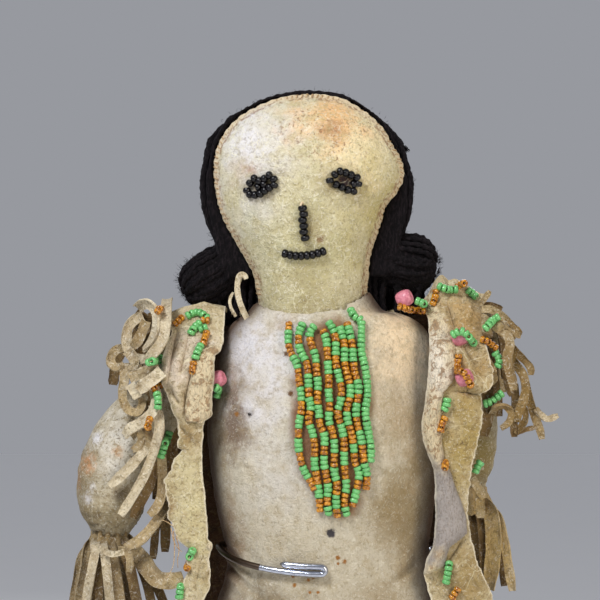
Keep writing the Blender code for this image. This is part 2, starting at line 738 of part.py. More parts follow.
def bead_string(name, path, radius, beads, finish, closed=False, sides=6):
    """Beads threaded in a row: one solid that swells at each bead and narrows between two."""
    count = beads * 2 if closed else beads * 2 + 1
    stops = []
    for k in range(count):
        t = k / (beads * 2)
        stops.append(bend(path, t))
    radii = [radius if k % 2 else radius * 0.6 for k in range(count)]
    if not closed:
        return solid(name, *loft(tube_rings(stops, radii, sides)), finish)
    middle = sum(stops, Vector()) / count
    rings = []
    for k, (p, r) in enumerate(zip(stops, radii)):
        travel = (stops[(k + 1) % count] - stops[k - 1]).normalized()
        out = (p - middle).normalized()
        out = (out - travel * out.dot(travel)).normalized()
        up = travel.cross(out)
        turn = [math.tau * i / sides for i in range(sides)]
        rings.append([p + (out * math.cos(a) + up * math.sin(a)) * r for a in turn])
    points = [p for ring in rings for p in ring]
    faces = []
    for k in range(count):
        for i in range(sides):
            a, b = k * sides, (k + 1) % count * sides
            j = (i + 1) % sides
            faces.append((a + i, a + j, b + j, b + i))
    return solid(name, points, faces, finish)


def on_face(x, drop, radius):
    """A bead's middle on the front of the head; drop is measured from the top of the head."""
    z = HEAD_TOP_Z - drop
    return Vector((x, front_of(head_section, HEAD_LEAN, x, z) - radius - GAP, z))


def make_face():
    r = BLACK_BEAD_RADIUS
    for name, x, drop, half_length, half_height, tilt in EYES:
        turn = math.radians(tilt)
        loop = []
        for k in range(25):
            a = math.tau * k / 24
            u, v = half_length * math.cos(a), half_height * math.sin(a)
            along = u * math.cos(turn) - v * math.sin(turn)
            lift = u * math.sin(turn) + v * math.cos(turn)
            loop.append(on_face((x + along) * MM, (drop - lift) * MM, r * 1.25))
        bead_string(name, loop, r, 12, BLACK, closed=True, sides=5)
    nose = [on_face((NOSE_X + 0.1 * k) * MM, (NOSE_TOP_DROP + 1.6 * k) * MM, r) for k in range(6)]
    bead_string("nose_beads", nose, r, 6, BLACK, sides=5)
    mouth = []
    for k in range(9):
        x = MOUTH_RIGHT_X + 1.25 * k
        mouth.append(on_face(x * MM, (MOUTH_DROP - MOUTH_BEND * (x - MOUTH_MIDDLE_X) ** 2) * MM, r))
    bead_string("mouth_beads", mouth, r, 8, BLACK, sides=5)


def chest_point(strand, drop):
    """Middle of a chest strand, drop below the neck."""
    share = drop / (0.53 * TORSO_HEIGHT)
    middle = (0.75 + 3.4 * min(1, share * 1.6) + 0.8 * share**2) * MM
    pitch = CHEST_PITCH_TOP + (CHEST_PITCH_BOTTOM - CHEST_PITCH_TOP) * share**2
    x = middle + (strand - (CHEST_STRANDS - 1) / 2) * pitch
    z = NECK_Z - drop
    return Vector((x, front_of(torso_section, 0, x, z) - BEAD_RADIUS - GAP, z))


def make_chest():
    """Green and amber strands: each swell is a run of green beads, each narrow part amber."""
    for strand in range(CHEST_STRANDS):
        length = CHEST_BOTTOM_DROPS[strand] * MM - CHEST_TOP_DROP
        runs = max(2, round(length / (BEAD_PITCH * 5)))
        path, radii = [], []
        for k in range(runs):
            for share, radius in ((0.25, 0.84), (0.75, 1.0)):
                t = (k + share) / runs
                path.append(chest_point(strand, CHEST_TOP_DROP + length * t))
                radii.append(BEAD_RADIUS * radius)
        finish = GREEN if strand == CHEST_STRANDS - 1 else AMBER
        solid(f"chest_strand_{strand + 1}", *loft(tube_rings(path, radii, 6)), finish)


def make_round_bead(name, middle, radius):
    rings = [[middle - Vector((0, 0, radius))]]
    for k in range(1, 5):
        a = math.pi * k / 5
        ring = []
        for i in range(8):
            b = math.tau * i / 8
            out = Vector((math.cos(b) * math.sin(a), math.sin(b) * math.sin(a), -math.cos(a)))
            ring.append(middle + out * radius)
        rings.append(ring)
    rings.append([middle + Vector((0, 0, radius))])
    solid(name, *loft(rings), PINK)


def on_coat(side, share, drop, lift):
    """A point at a height over the outer skin of a front strip, between the coat's own stations."""
    rows = RIGHT_FRONT if side < 0 else LEFT_FRONT

    def skin(share, drop):
        i = min(max(math.floor(share * COAT_COLUMNS), 0), COAT_COLUMNS - 1)
        j = 0
        while j < len(FRONT_DROPS) - 2 and FRONT_DROPS[j + 1] < drop:
            j += 1
        u = share * COAT_COLUMNS - i
        v = (drop - FRONT_DROPS[j]) / (FRONT_DROPS[j + 1] - FRONT_DROPS[j])
        corners = []
        for column in (i, i + 1):
            for row in (j, j + 1):
                corners.append(coat_front(rows, side, column / COAT_COLUMNS, FRONT_DROPS[row]))
        upper, lower = corners[0].lerp(corners[2], u), corners[1].lerp(corners[3], u)
        return upper.lerp(lower, v)

    step = 0.01
    across = skin(share + step, drop) - skin(share - step, drop)
    down = skin(share, drop + step) - skin(share, drop - step)
    normal = across.cross(down).normalized()
    if normal.y - normal.z > 0:
        normal.negate()
    return skin(share, drop) + normal * (HIDE_THICKNESS / 2 + lift + GAP)


def make_coat_beads():
    """Short strings sewn to the coat's front; places are shares across and down a front strip."""
    strings = (
        ("coat_beads_right_1", -1, GREEN, (0.75, 0.040), (0.30, 0.045)),
        ("coat_beads_right_2", -1, GREEN, (0.80, 0.095), (0.35, 0.075)),
        ("coat_beads_right_3", -1, AMBER, (0.28, 0.100), (0.18, 0.150)),
        ("coat_beads_right_4", -1, GREEN, (0.50, 0.150), (0.40, 0.205)),
        ("coat_beads_left_1", 1, GREEN, (0.10, 0.045), (0.62, 0.045)),
        ("coat_beads_left_2", 1, AMBER, (0.55, 0.075), (0.95, 0.060)),
        ("coat_beads_left_3", 1, GREEN, (0.35, 0.125), (0.85, 0.150)),
        ("coat_beads_left_4", 1, GREEN, (0.42, 0.260), (0.36, 0.310)),
        ("coat_beads_left_5", 1, AMBER, (0.33, 0.325), (0.16, 0.365)),
        ("coat_beads_left_6", 1, GREEN, (0.36, 0.615), (0.30, 0.660)),
    )
    lift = BEAD_RADIUS * 1.25  # clear of the skin where it creases under a string
    for name, side, finish, start, end in strings:
        path = []
        for k in range(5):
            share = start[0] + (end[0] - start[0]) * k / 4
            drop = start[1] + (end[1] - start[1]) * k / 4
            path.append(on_coat(side, share, drop, lift))
        length = sum((b - a).length for a, b in zip(path, path[1:]))
        bead_string(name, path, BEAD_RADIUS, max(3, round(length / BEAD_PITCH)), finish, sides=4)
    rounds = ((1, 0.10, 0.110), (1, 0.80, 0.095), (1, 0.70, 0.205), (-1, 0.06, 0.175))
    for k, (side, share, drop) in enumerate(rounds):
        middle = on_coat(side, share, drop, PINK_BEAD_RADIUS * 1.1)
        make_round_bead(f"pink_bead_{k + 1}", middle, PINK_BEAD_RADIUS)


def make_thong():
    """A cut end of thong that stands up at the coat's neck."""
    base = Vector((THONG_INSIDE - TORSO_SIDE, -5.0 * MM, RIDGE_Z + HIDE_THICKNESS))
    steps = ((0.0, 0, 0), (0.6, 0.4, 4), (0.2, 0.2, 8), (-0.4, -0.4, 10.5))
    path = [base + Vector(step) * MM for step in steps]
    solid("collar_thong", *loft(tube_rings(path, [THONG_RADIUS] * len(path), 5)), COAT_HIDE)


def main():
    for old in list(bpy.data.objects):
        bpy.data.objects.remove(old)
    make_mount()
    make_shoe(-1)
    make_shoe(1)
    make_body()
    make_head()
    make_hair()
    make_arm("arm_right", -1, RIGHT_ARM)
    make_arm("arm_left", 1, LEFT_ARM)
    make_cuff("cuff_fringe_right", -1, RIGHT_ARM, RIGHT_CUFF_DROP, Vector((0, -0.5, 0)) * MM, 3)
    make_cuff("cuff_fringe_left", 1, LEFT_ARM, LEFT_CUFF_DROP, Vector((4, 0, 0)) * MM, 5)
    make_coat()
    make_shoulder_fringe("shoulder_fringe_right", -1, 7)
    make_shoulder_fringe("shoulder_fringe_left", 1, 11)
    make_side_tie("side_tie_right")
    make_face()
    make_chest()
    make_coat_beads()
    make_thong()


main()
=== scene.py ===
"""Beaded hide doll in an open fringed coat, standing in its steel display mount."""

import math
import random

import bmesh
import bpy
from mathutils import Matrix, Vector, noise
from mathutils.bvhtree import BVHTree
from mathutils.kdtree import KDTree


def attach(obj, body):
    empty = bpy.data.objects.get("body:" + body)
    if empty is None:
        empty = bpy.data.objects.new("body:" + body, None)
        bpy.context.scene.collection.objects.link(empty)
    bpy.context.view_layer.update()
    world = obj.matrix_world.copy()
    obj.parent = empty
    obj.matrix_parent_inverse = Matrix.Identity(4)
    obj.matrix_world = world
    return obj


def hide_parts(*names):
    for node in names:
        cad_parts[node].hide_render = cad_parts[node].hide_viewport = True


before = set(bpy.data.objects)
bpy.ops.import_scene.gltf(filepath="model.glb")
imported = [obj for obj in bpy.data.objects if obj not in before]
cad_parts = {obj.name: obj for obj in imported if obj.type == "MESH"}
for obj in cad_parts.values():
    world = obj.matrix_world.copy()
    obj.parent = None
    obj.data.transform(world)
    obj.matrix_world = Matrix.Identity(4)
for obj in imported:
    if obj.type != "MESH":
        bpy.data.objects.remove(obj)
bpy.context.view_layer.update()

# Display mount
# A round steel foot and an upright post, turned and polished, carry a bent wire.
# The wire passes round the doll's waist, and its front end is folded back on itself.
MM = 0.001
WAIST_Z = 150.84
WAIST_MIDDLE = 1.44
CRADLE_HALF_BREADTH = 30.1
CRADLE_HALF_DEPTH = 19.1
CRADLE_RISE = 5.8
CRADLE_DESCENT = 1.6  # how late the wire comes down towards its front end
WIRE_RADIUS = 0.9
FOLD_PITCH = 2.1
FOLD_LENGTH = 11.5
WIRE_LEFT_END = -111
WIRE_SHADE_UNTIL = 142  # the wire is painted dark as far as this, as shade where it lies in shadow
WIRE_FRONT_END = 176.5
WIRE_DESCENT_SPAN = 78  # degrees over which the wire comes down to its front end
WIRE_STEPS = 110
WIRE_SIDES = 14
FOLD_STEPS = 12
FOLD_CLOSING = 0.06  # share of its pitch by which the fold closes towards the tip


def smooth_run(corners, steps):
    """Points at even shares of a smooth curve through the given corners."""
    corners = [Vector(p) for p in corners]
    first = 2 * corners[0] - corners[1]
    last = 2 * corners[-1] - corners[-2]
    corners = [first, *corners, last]
    spans = len(corners) - 3
    run = []
    for step in range(steps + 1):
        place = min(step / steps * spans, spans - 1e-6)
        k = int(place)
        t = place - k
        a, b, c, d = corners[k : k + 4]
        bow = (2 * a - 5 * b + 4 * c - d) * t**2
        run.append(0.5 * (2 * b + (c - a) * t + bow + (3 * b - a - 3 * c + d) * t**3))
    return run


def sweep(run, section, across=None):
    """Points and faces of a closed body along a run; section(share) gives its corners, across and out."""
    points = []
    faces = []
    last = len(run) - 1
    side = across
    for k, p in enumerate(run):
        ahead = (run[min(k + 1, last)] - run[max(k - 1, 0)]).normalized()
        if side is None:
            side = ahead.cross(Vector((0.31, 0.17, 0.93)))
        side = (side - ahead * side.dot(ahead)).normalized()
        out = side.cross(ahead)
        corners = section(k / last)
        points += [p + side * u + out * v for u, v in corners]
    n = len(corners)
    for k in range(last):
        for i in range(n):
            j = (i + 1) % n
            faces.append((k * n + i, k * n + j, k * n + n + j, k * n + n + i))
    faces.append(tuple(reversed(range(n))))
    faces.append(tuple(last * n + i for i in range(n)))
    return points, faces


def ring(radius, sides):
    turns = [math.tau * k / sides for k in range(sides)]
    return [(radius * math.cos(a), radius * math.sin(a)) for a in turns]


def gather(points, faces, more):
    """Add another body's points and faces to a piece."""
    start = len(points)
    points += more[0]
    faces += [tuple(i + start for i in face) for face in more[1]]


def new_piece(name, points, faces, finishes, stands_for, slot, kinds=()):
    """A piece of the doll from points in mm; kinds tells which of its finishes each face has."""
    mesh = bpy.data.meshes.new(name)
    mesh.from_pydata([tuple(v * MM for v in p) for p in points], [], faces)
    for finish in finishes:
        mesh.materials.append(finish)
    shape = bmesh.new()
    shape.from_mesh(mesh)
    bmesh.ops.recalc_face_normals(shape, faces=shape.faces[:])
    shape.to_mesh(mesh)
    shape.free()
    mesh.shade_smooth()
    if kinds:
        mesh.polygons.foreach_set("material_index", kinds)
    made = bpy.data.objects.new(name, mesh)
    bpy.context.scene.collection.objects.link(made)
    # Every piece rides on the doll's one body and stands for its nodes
    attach(made, "root")
    if stands_for:
        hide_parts(*stands_for)
    return made


def crisp(made, angle=38):
    """Cut edges stay sharp: no shading runs over a turn steeper than this."""
    made.data.set_sharp_from_angle(angle=math.radians(angle))


def paint(red, green, blue):
    """A colour as the eye reads it, 0 to 255, in the numbers that a shader takes."""
    linear = [((v / 255 + 0.055) / 1.055) ** 2.4 for v in (red, green, blue)]
    return (*linear, 1.0)


def new_finish(name, roughness, metallic=0.0):
    made = bpy.data.materials.new(name)
    made.use_nodes = True
    tree = made.node_tree
    shader = tree.nodes["Principled BSDF"]
    shader.inputs["Roughness"].default_value = roughness
    shader.inputs["Metallic"].default_value = metallic
    return made, tree, shader


def feed(tree, value, socket):
    """Set a socket to a value or link it to another node's output."""
    if isinstance(value, bpy.types.NodeSocket):
        tree.links.new(value, socket)
    else:
        socket.default_value = value


def place_on(tree):
    """Where the surface lies, in the doll's own frame."""
    return tree.nodes.new("ShaderNodeTexCoord").outputs["Object"]


def marked(tree, name):
    """A value from 0 to 1 that the mesh carries at each of its points."""
    made = tree.nodes.new("ShaderNodeAttribute")
    made.attribute_name = name
    return made.outputs["Fac"]


def blotches(tree, size, detail=3, swirl=0.0, stretch=None):
    """Soft random patches, this many mm across, from 0 to 1."""
    place = place_on(tree)
    if stretch:
        mapping = tree.nodes.new("ShaderNodeMapping")
        mapping.inputs["Scale"].default_value = stretch
        tree.links.new(place, mapping.inputs["Vector"])
        place = mapping.outputs["Vector"]
    made = tree.nodes.new("ShaderNodeTexNoise")
    made.inputs["Scale"].default_value = 1 / (size * MM)
    made.inputs["Detail"].default_value = detail
    made.inputs["Roughness"].default_value = 0.6
    made.inputs["Distortion"].default_value = swirl
    tree.links.new(place, made.inputs["Vector"])
    return made.outputs["Fac"]


def between(tree, value, low, high, to_high=1.0, to_low=0.0):
    """Spread the part of a value between low and high over a new range."""
    made = tree.nodes.new("ShaderNodeMapRange")
    made.interpolation_type = "SMOOTHSTEP"
    feed(tree, value, made.inputs["Value"])
    made.inputs["From Min"].default_value = low
    made.inputs["From Max"].default_value = high
    made.inputs["To Min"].default_value = to_low
    made.inputs["To Max"].default_value = to_high
    return made.outputs["Result"]


def sum_of(tree, what, first, second):
    made = tree.nodes.new("ShaderNodeMath")
    made.operation = what
    feed(tree, first, made.inputs[0])
    feed(tree, second, made.inputs[1])
    return made.outputs["Value"]


def laid_over(tree, ground, tint, amount):
    """One colour laid over another, as thick as the amount says."""
    made = tree.nodes.new("ShaderNodeMix")
    made.data_type = "RGBA"
    feed(tree, amount, made.inputs[0])
    feed(tree, ground, made.inputs[6])
    feed(tree, tint, made.inputs[7])
    return made.outputs[2]


def two_tone(tree, shader, first, second, amount):
    """Colour a finish, from one colour to a second as the amount goes from 0 to 1."""
    feed(tree, laid_over(tree, first, second, amount), shader.inputs["Base Color"])


def relief(tree, shader, height, depth):
    """Relief on a surface, this many mm deep."""
    made = tree.nodes.new("ShaderNodeBump")
    made.inputs["Distance"].default_value = depth * MM
    tree.links.new(height, made.inputs["Height"])
    tree.links.new(made.outputs["Normal"], shader.inputs["Normal"])


steel, tree, shader = new_finish("polished_steel", 0.16, 1.0)
scuffs = blotches(tree, 1.2, 4, stretch=(1, 1, 8))
two_tone(tree, shader, paint(196, 200, 212), paint(150, 153, 165), between(tree, scuffs, 0.45, 0.7))
feed(tree, between(tree, scuffs, 0.4, 0.7, 0.3, 0.12), shader.inputs["Roughness"])
relief(tree, shader, scuffs, 0.02)
for node in ("mount_foot", "mount_post"):
    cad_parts[node].data.materials[0] = steel
# Painted shade: a dark brownish steel for the part of the wire that lies in shadow
shaded_steel, tree, shader = new_finish("shaded_steel", 0.3, 1.0)
scuffs = blotches(tree, 1.2, 4)
two_tone(tree, shader, paint(112, 96, 82), paint(74, 62, 54), scuffs)
relief(tree, shader, scuffs, 0.02)


def round_waist(angle, lift=0.0):
    """A point of the cradle, its angle in degrees from the back towards the doll's right."""
    turn = math.radians(angle)
    share = min(1, (WIRE_FRONT_END - angle) / WIRE_DESCENT_SPAN)
    z = WAIST_Z + CRADLE_RISE * share**CRADLE_DESCENT + lift
    x = WAIST_MIDDLE - CRADLE_HALF_BREADTH * math.sin(turn)
    return Vector((x, CRADLE_HALF_DEPTH * math.cos(turn), z))


wire = []
for k in range(WIRE_STEPS + 1):
    wire.append(round_waist(WIRE_LEFT_END + (WIRE_FRONT_END - WIRE_LEFT_END) * k / WIRE_STEPS))
tip = wire[-1]
for k in range(1, 8):
    turn = math.pi * k / 8
    wire.append(tip + Vector((math.sin(turn), 0, 1 - math.cos(turn))) * FOLD_PITCH / 2)
for k in range(FOLD_STEPS + 1):
    angle = WIRE_FRONT_END - math.degrees(FOLD_LENGTH * k / FOLD_STEPS / CRADLE_HALF_BREADTH)
    wire.append(round_waist(angle, FOLD_PITCH * (1 - FOLD_CLOSING * k / FOLD_STEPS)))


def wire_section(share):
    """The wire is rounded off at its two cut ends."""
    end = min(share, 1 - share) * 130
    return ring(WIRE_RADIUS * min(1, 0.35 + 0.65 * end), WIRE_SIDES)


points, faces = sweep(wire, wire_section)
# The wire is painted in the dark steel, as shade, from its left end round the back to where the shade ends
shaded_until = WIRE_STEPS * (WIRE_SHADE_UNTIL - WIRE_LEFT_END) / (WIRE_FRONT_END - WIRE_LEFT_END)
in_shade = [int(2 < k // WIRE_SIDES < shaded_until) for k in range(len(faces))]
new_piece("cradle_wire", points, faces, [steel, shaded_steel], ["mount_cradle"], "steel", in_shade)

# Body
# One bag of tanned hide for torso and legs, stuffed firm and sewn up the sides.
# The hide is cream and chalky, tan towards the doll's left, with pricks and small stains; some light and
# shade is painted into its colour.
TORSO_TOP = 222.6
TORSO_HEIGHT = 104
TORSO_BREADTH = 63
TORSO_DEPTH = 39
# Drop, right half, left half and half depth, as shares of height, breadth and depth
TORSO_ROWS = (
    (0.0, 0.278, 0.272, 0.333),
    (0.035, 0.380, 0.425, 0.352),
    (0.097, 0.444, 0.482, 0.400),
    (0.190, 0.478, 0.495, 0.460),
    (0.323, 0.500, 0.510, 0.500),
    (0.506, 0.471, 0.495, 0.487),
    (0.680, 0.417, 0.470, 0.440),
    (0.842, 0.480, 0.505, 0.487),
    (0.965, 0.455, 0.465, 0.440),
    (1.020, 0.390, 0.400, 0.350),
)
SEAM_SHARPNESS = 1.15
LEG_SPREAD = 15
LEG_TOP = 127.6
LEG_BOTTOM = 21.6
THIGH_RADIUS = 13.3
ANKLE_RADIUS = 8.2
BODY_MESH_SIZE = 0.85
# Folds: the two ends (x, z), depth and half width; a negative depth stands out
BODY_FOLDS = (
    ((-27, 157), (-19, 148.5), 0.9, 1.0),
    ((-19, 148.5), (-13.5, 139), 0.6, 1.0),
    ((-29, 154), (-17, 143.5), 1.1, 0.9),
    ((26, 153), (19, 147), 0.7, 1.2),
    ((-20, 214), (-27, 198), 0.3, 1.6),
    ((26, 208), (28, 190), 0.3, 1.6),
    ((-14, 122), (0, 118), 0.5, 1.2),
    ((14, 122), (1, 118), 0.5, 1.2),
)
# The torso's hide is drawn up round the neck: x across the front, and how high its edge stands
NECK_EDGE = (
    (-17.6, 224.6), (-12.9, 222.4), (-6.0, 221.5), (0.3, 222.3), (5.0, 223.9), (9.0, 226.1), (12.5, 227.6),
)
NECK_MIDDLE = -2.6
NECK_HALF_BREADTH = 15.2
NECK_HALF_DEPTH = 12.2
NECK_BACK_EDGE = 226.0
NECK_FOOT = 217.5
# The neck's edge, from outside up and over: height as a share, and how far it spreads
NECK_SECTION = ((0.0, 1.0), (0.35, 0.62), (0.7, 0.26), (0.93, 0.05), (1.0, -0.02), (0.9, -0.1), (0.0, -0.1))
SIDE_SHADE_END = (12, 3)  # the brown of the sides, painted shade with some soil, fades between these places along y, behind the seams
SIDE_SHADE_FOOT = (112, 126)  # and between these heights
SHOULDER_FREE_OF_SIDE_SHADE = ((34, -6, 213), 21)  # the painted shade of the sides is kept off the left shoulder, which is pale right up to its edge
TORSO_RINGS = 70
LEG_RINGS = 60
BODY_SIDES = 72
LEG_SIDES = 40
SEAM_FOOT = 122  # the side seams stand out above this height
SEAM_WIDTH = 0.9
TORSO_FOOT = 118
PRICK = (-19.9, 193.8)
BUTTON_HOLE = (2.3, 162.2)


def row_at(rows, share):
    """The row at a share, on a smooth curve through the given rows."""
    share = min(max(share, rows[0][0]), rows[-1][0])
    k = 0
    while k < len(rows) - 2 and rows[k + 1][0] < share:
        k += 1
    low, high = rows[k], rows[k + 1]
    before, after = rows[max(k - 1, 0)], rows[min(k + 2, len(rows) - 1)]
    step = high[0] - low[0]
    t = (share - low[0]) / step
    values = []
    for i in range(1, len(low)):
        leaving = (high[i] - before[i]) / (high[0] - before[0]) * step
        arriving = (after[i] - low[i]) / (after[0] - low[0]) * step
        value = low[i] * (2 * t**3 - 3 * t**2 + 1) + leaving * (t**3 - 2 * t**2 + t)
        values.append(value + high[i] * (3 * t**2 - 2 * t**3) + arriving * (t**3 - t**2))
    return values


def between_marks(marks, at):
    """The value at a place, on straight lines between marks of (place, value) that rise."""
    if at <= marks[0][0]:
        return marks[0][1]
    for (low, first), (high, second) in zip(marks, marks[1:]):
        if at <= high:
            return first + (second - first) * (at - low) / (high - low)
    return marks[-1][1]


def pillow_ring(middle, right, left, depth, z, sides):
    """Section of a bag sewn from two skins, which meet at an edge at each side."""
    centre = middle + (left - right) / 2
    half = (left + right) / 2
    made = []
    for k in range(sides):
        angle = math.tau * k / sides
        s = math.sin(angle)
        y = math.copysign(abs(s) ** SEAM_SHARPNESS, s) * depth
        made.append(Vector((centre + half * math.cos(angle), y, z)))
    return made


def torso_at(z):
    right, left, depth = row_at(TORSO_ROWS, (TORSO_TOP - z) / TORSO_HEIGHT)
    return right * TORSO_BREADTH, left * TORSO_BREADTH, depth * TORSO_DEPTH


def torso_front(x, z):
    right, left, depth = torso_at(z)
    share = min(abs(x - (left - right) / 2) / ((left + right) / 2), 0.999)
    return -depth * (1 - share**2) ** (SEAM_SHARPNESS / 2)


def skin_of(rings):
    """Points and faces of a closed body through rings of as many points each."""
    n = len(rings[0])
    points = [p for one in rings for p in one]
    faces = [tuple(reversed(range(n)))]
    for k in range(len(rings) - 1):
        for i in range(n):
            j = (i + 1) % n
            faces.append((k * n + i, k * n + j, k * n + n + j, k * n + n + i))
    faces.append(tuple(len(points) - n + i for i in range(n)))
    return points, faces


def one_skin(made, size, smoothings):
    """Melt the bodies of a piece into one even skin, and smooth it."""
    melt = made.modifiers.new("skin", "REMESH")
    melt.mode = "VOXEL"
    melt.voxel_size = size * MM
    graph = bpy.context.evaluated_depsgraph_get()
    mesh = bpy.data.meshes.new_from_object(made.evaluated_get(graph))
    made.modifiers.clear()
    made.data = mesh
    shape = bmesh.new()
    shape.from_mesh(mesh)
    axes = {"use_axis_x": True, "use_axis_y": True, "use_axis_z": True}
    for _ in range(smoothings):
        bmesh.ops.smooth_vert(shape, verts=shape.verts, factor=0.5, **axes)
    shape.to_mesh(mesh)
    shape.free()
    mesh.shade_smooth()


def push(made, height):
    """Move each point of a piece out along its normal by height(place, normal), in mm."""
    mesh = made.data
    shifts = [height(v.co / MM, v.normal) for v in mesh.vertices]
    normals = [v.normal.copy() for v in mesh.vertices]
    for v, normal, shift in zip(mesh.vertices, normals, shifts):
        v.co += normal * shift * MM


def lumps(place, size, seed=0.0):
    """Uneven stuffing: smooth random swellings about this many mm across, from -1 to 1."""
    return noise.noise(place / size + Vector((seed, seed * 0.37, -seed)))


def from_line(u, v, start, end):
    """Distance of a point from a straight line between two others, all in one plane."""
    along_u, along_v = end[0] - start[0], end[1] - start[1]
    t = ((u - start[0]) * along_u + (v - start[1]) * along_v) / (along_u**2 + along_v**2)
    t = min(max(t, 0), 1)
    return math.hypot(u - start[0] - along_u * t, v - start[1] - along_v * t), t


def fold(distance, depth, width):
    """A groove with a lip at each side of it."""
    reach = distance / width
    return -depth * math.exp(-(reach**2)) + 0.45 * depth * math.exp(-((reach - 2) ** 2))


def body_relief(p, normal):
    shift = 0.5 * lumps(p, 15) + 0.22 * lumps(p, 6, 3) + 0.1 * lumps(p, 2.6, 5)
    if p.y < 0:
        for start, end, depth, width in BODY_FOLDS:
            distance, t = from_line(p.x, p.z, start, end)
            if distance < width * 4:
                shift += fold(distance, depth * math.sin(math.pi * (0.1 + 0.8 * t)), width)
        hole = math.hypot(p.x - PRICK[0], p.z - PRICK[1])
        shift += 0.25 * math.exp(-(((hole - 1.6) / 0.7) ** 2)) - 0.9 * math.exp(-((hole / 0.8) ** 2))
        hole = math.hypot(p.x - BUTTON_HOLE[0], p.z - BUTTON_HOLE[1])
        shift -= 0.8 * math.exp(-((hole / 1.1) ** 2))
    middle = (torso_at(p.z)[1] - torso_at(p.z)[0]) / 2 if p.z > TORSO_FOOT else 0
    if p.z > SEAM_FOOT:
        seam = abs(p.y) / SEAM_WIDTH
        side_on = 1 if abs(p.x - middle) > 12 else 0
        shift += side_on * (0.35 * math.exp(-((seam - 1.6) ** 2)) - 0.5 * math.exp(-(seam**2)))
    return shift


def spot(tree, middle, radius, ragged=0.25, stretch=(1, 1, 1), core=0.35):
    """1 inside a ragged round place on a skin, falling from its core to 0 at its radius, in mm."""
    place = place_on(tree)
    made = tree.nodes.new("ShaderNodeVectorMath")
    made.operation = "SUBTRACT"
    tree.links.new(place, made.inputs[0])
    made.inputs[1].default_value = [v * MM for v in middle]
    scaled = tree.nodes.new("ShaderNodeVectorMath")
    scaled.operation = "MULTIPLY"
    tree.links.new(made.outputs["Vector"], scaled.inputs[0])
    scaled.inputs[1].default_value = [v / (radius * MM) for v in stretch]
    length = tree.nodes.new("ShaderNodeVectorMath")
    length.operation = "LENGTH"
    tree.links.new(scaled.outputs["Vector"], length.inputs[0])
    edge = blotches(tree, radius * 0.5, 4)
    wander = between(tree, edge, 0.3, 0.7, ragged, -ragged)
    return between(tree, sum_of(tree, "ADD", length.outputs["Value"], wander), 1.0, core)


def place_along(tree, axis):
    """Where the surface lies along one axis."""
    parts = tree.nodes.new("ShaderNodeSeparateXYZ")
    tree.links.new(place_on(tree), parts.inputs["Vector"])
    return parts.outputs[axis]


def both(tree, first, second):
    """Where two patterns meet, both from 0 to 1."""
    return sum_of(tree, "MULTIPLY", first, second)


def fine_cracks(tree, size, bend, bend_size, width, strength, patch):
    """Thin crooked lines some mm apart, bent by some mm over a distance, and only here and there."""
    place = place_on(tree)
    ripple = tree.nodes.new("ShaderNodeTexNoise")
    ripple.inputs["Scale"].default_value = 1 / (bend_size * MM)
    ripple.inputs["Detail"].default_value = 4
    tree.links.new(place, ripple.inputs["Vector"])
    bent = tree.nodes.new("ShaderNodeVectorMath")
    bent.operation = "MULTIPLY_ADD"
    tree.links.new(ripple.outputs["Color"], bent.inputs[0])
    bent.inputs[1].default_value = (bend * MM, bend * MM, bend * MM)
    tree.links.new(place, bent.inputs[2])
    cracks = tree.nodes.new("ShaderNodeTexVoronoi")
    cracks.feature = "DISTANCE_TO_EDGE"
    cracks.inputs["Scale"].default_value = 1 / (size * MM)
    tree.links.new(bent.outputs["Vector"], cracks.inputs["Vector"])
    thin = between(tree, cracks.outputs["Distance"], width, 0.0, strength)
    return both(tree, thin, between(tree, blotches(tree, patch, 3), 0.42, 0.6))


def colour_so_far(finish):
    """A finish's tree and shader, and the colour that it has by now."""
    tree = finish.node_tree
    shader = tree.nodes["Principled BSDF"]
    return tree, shader, shader.inputs["Base Color"].links[0].from_socket


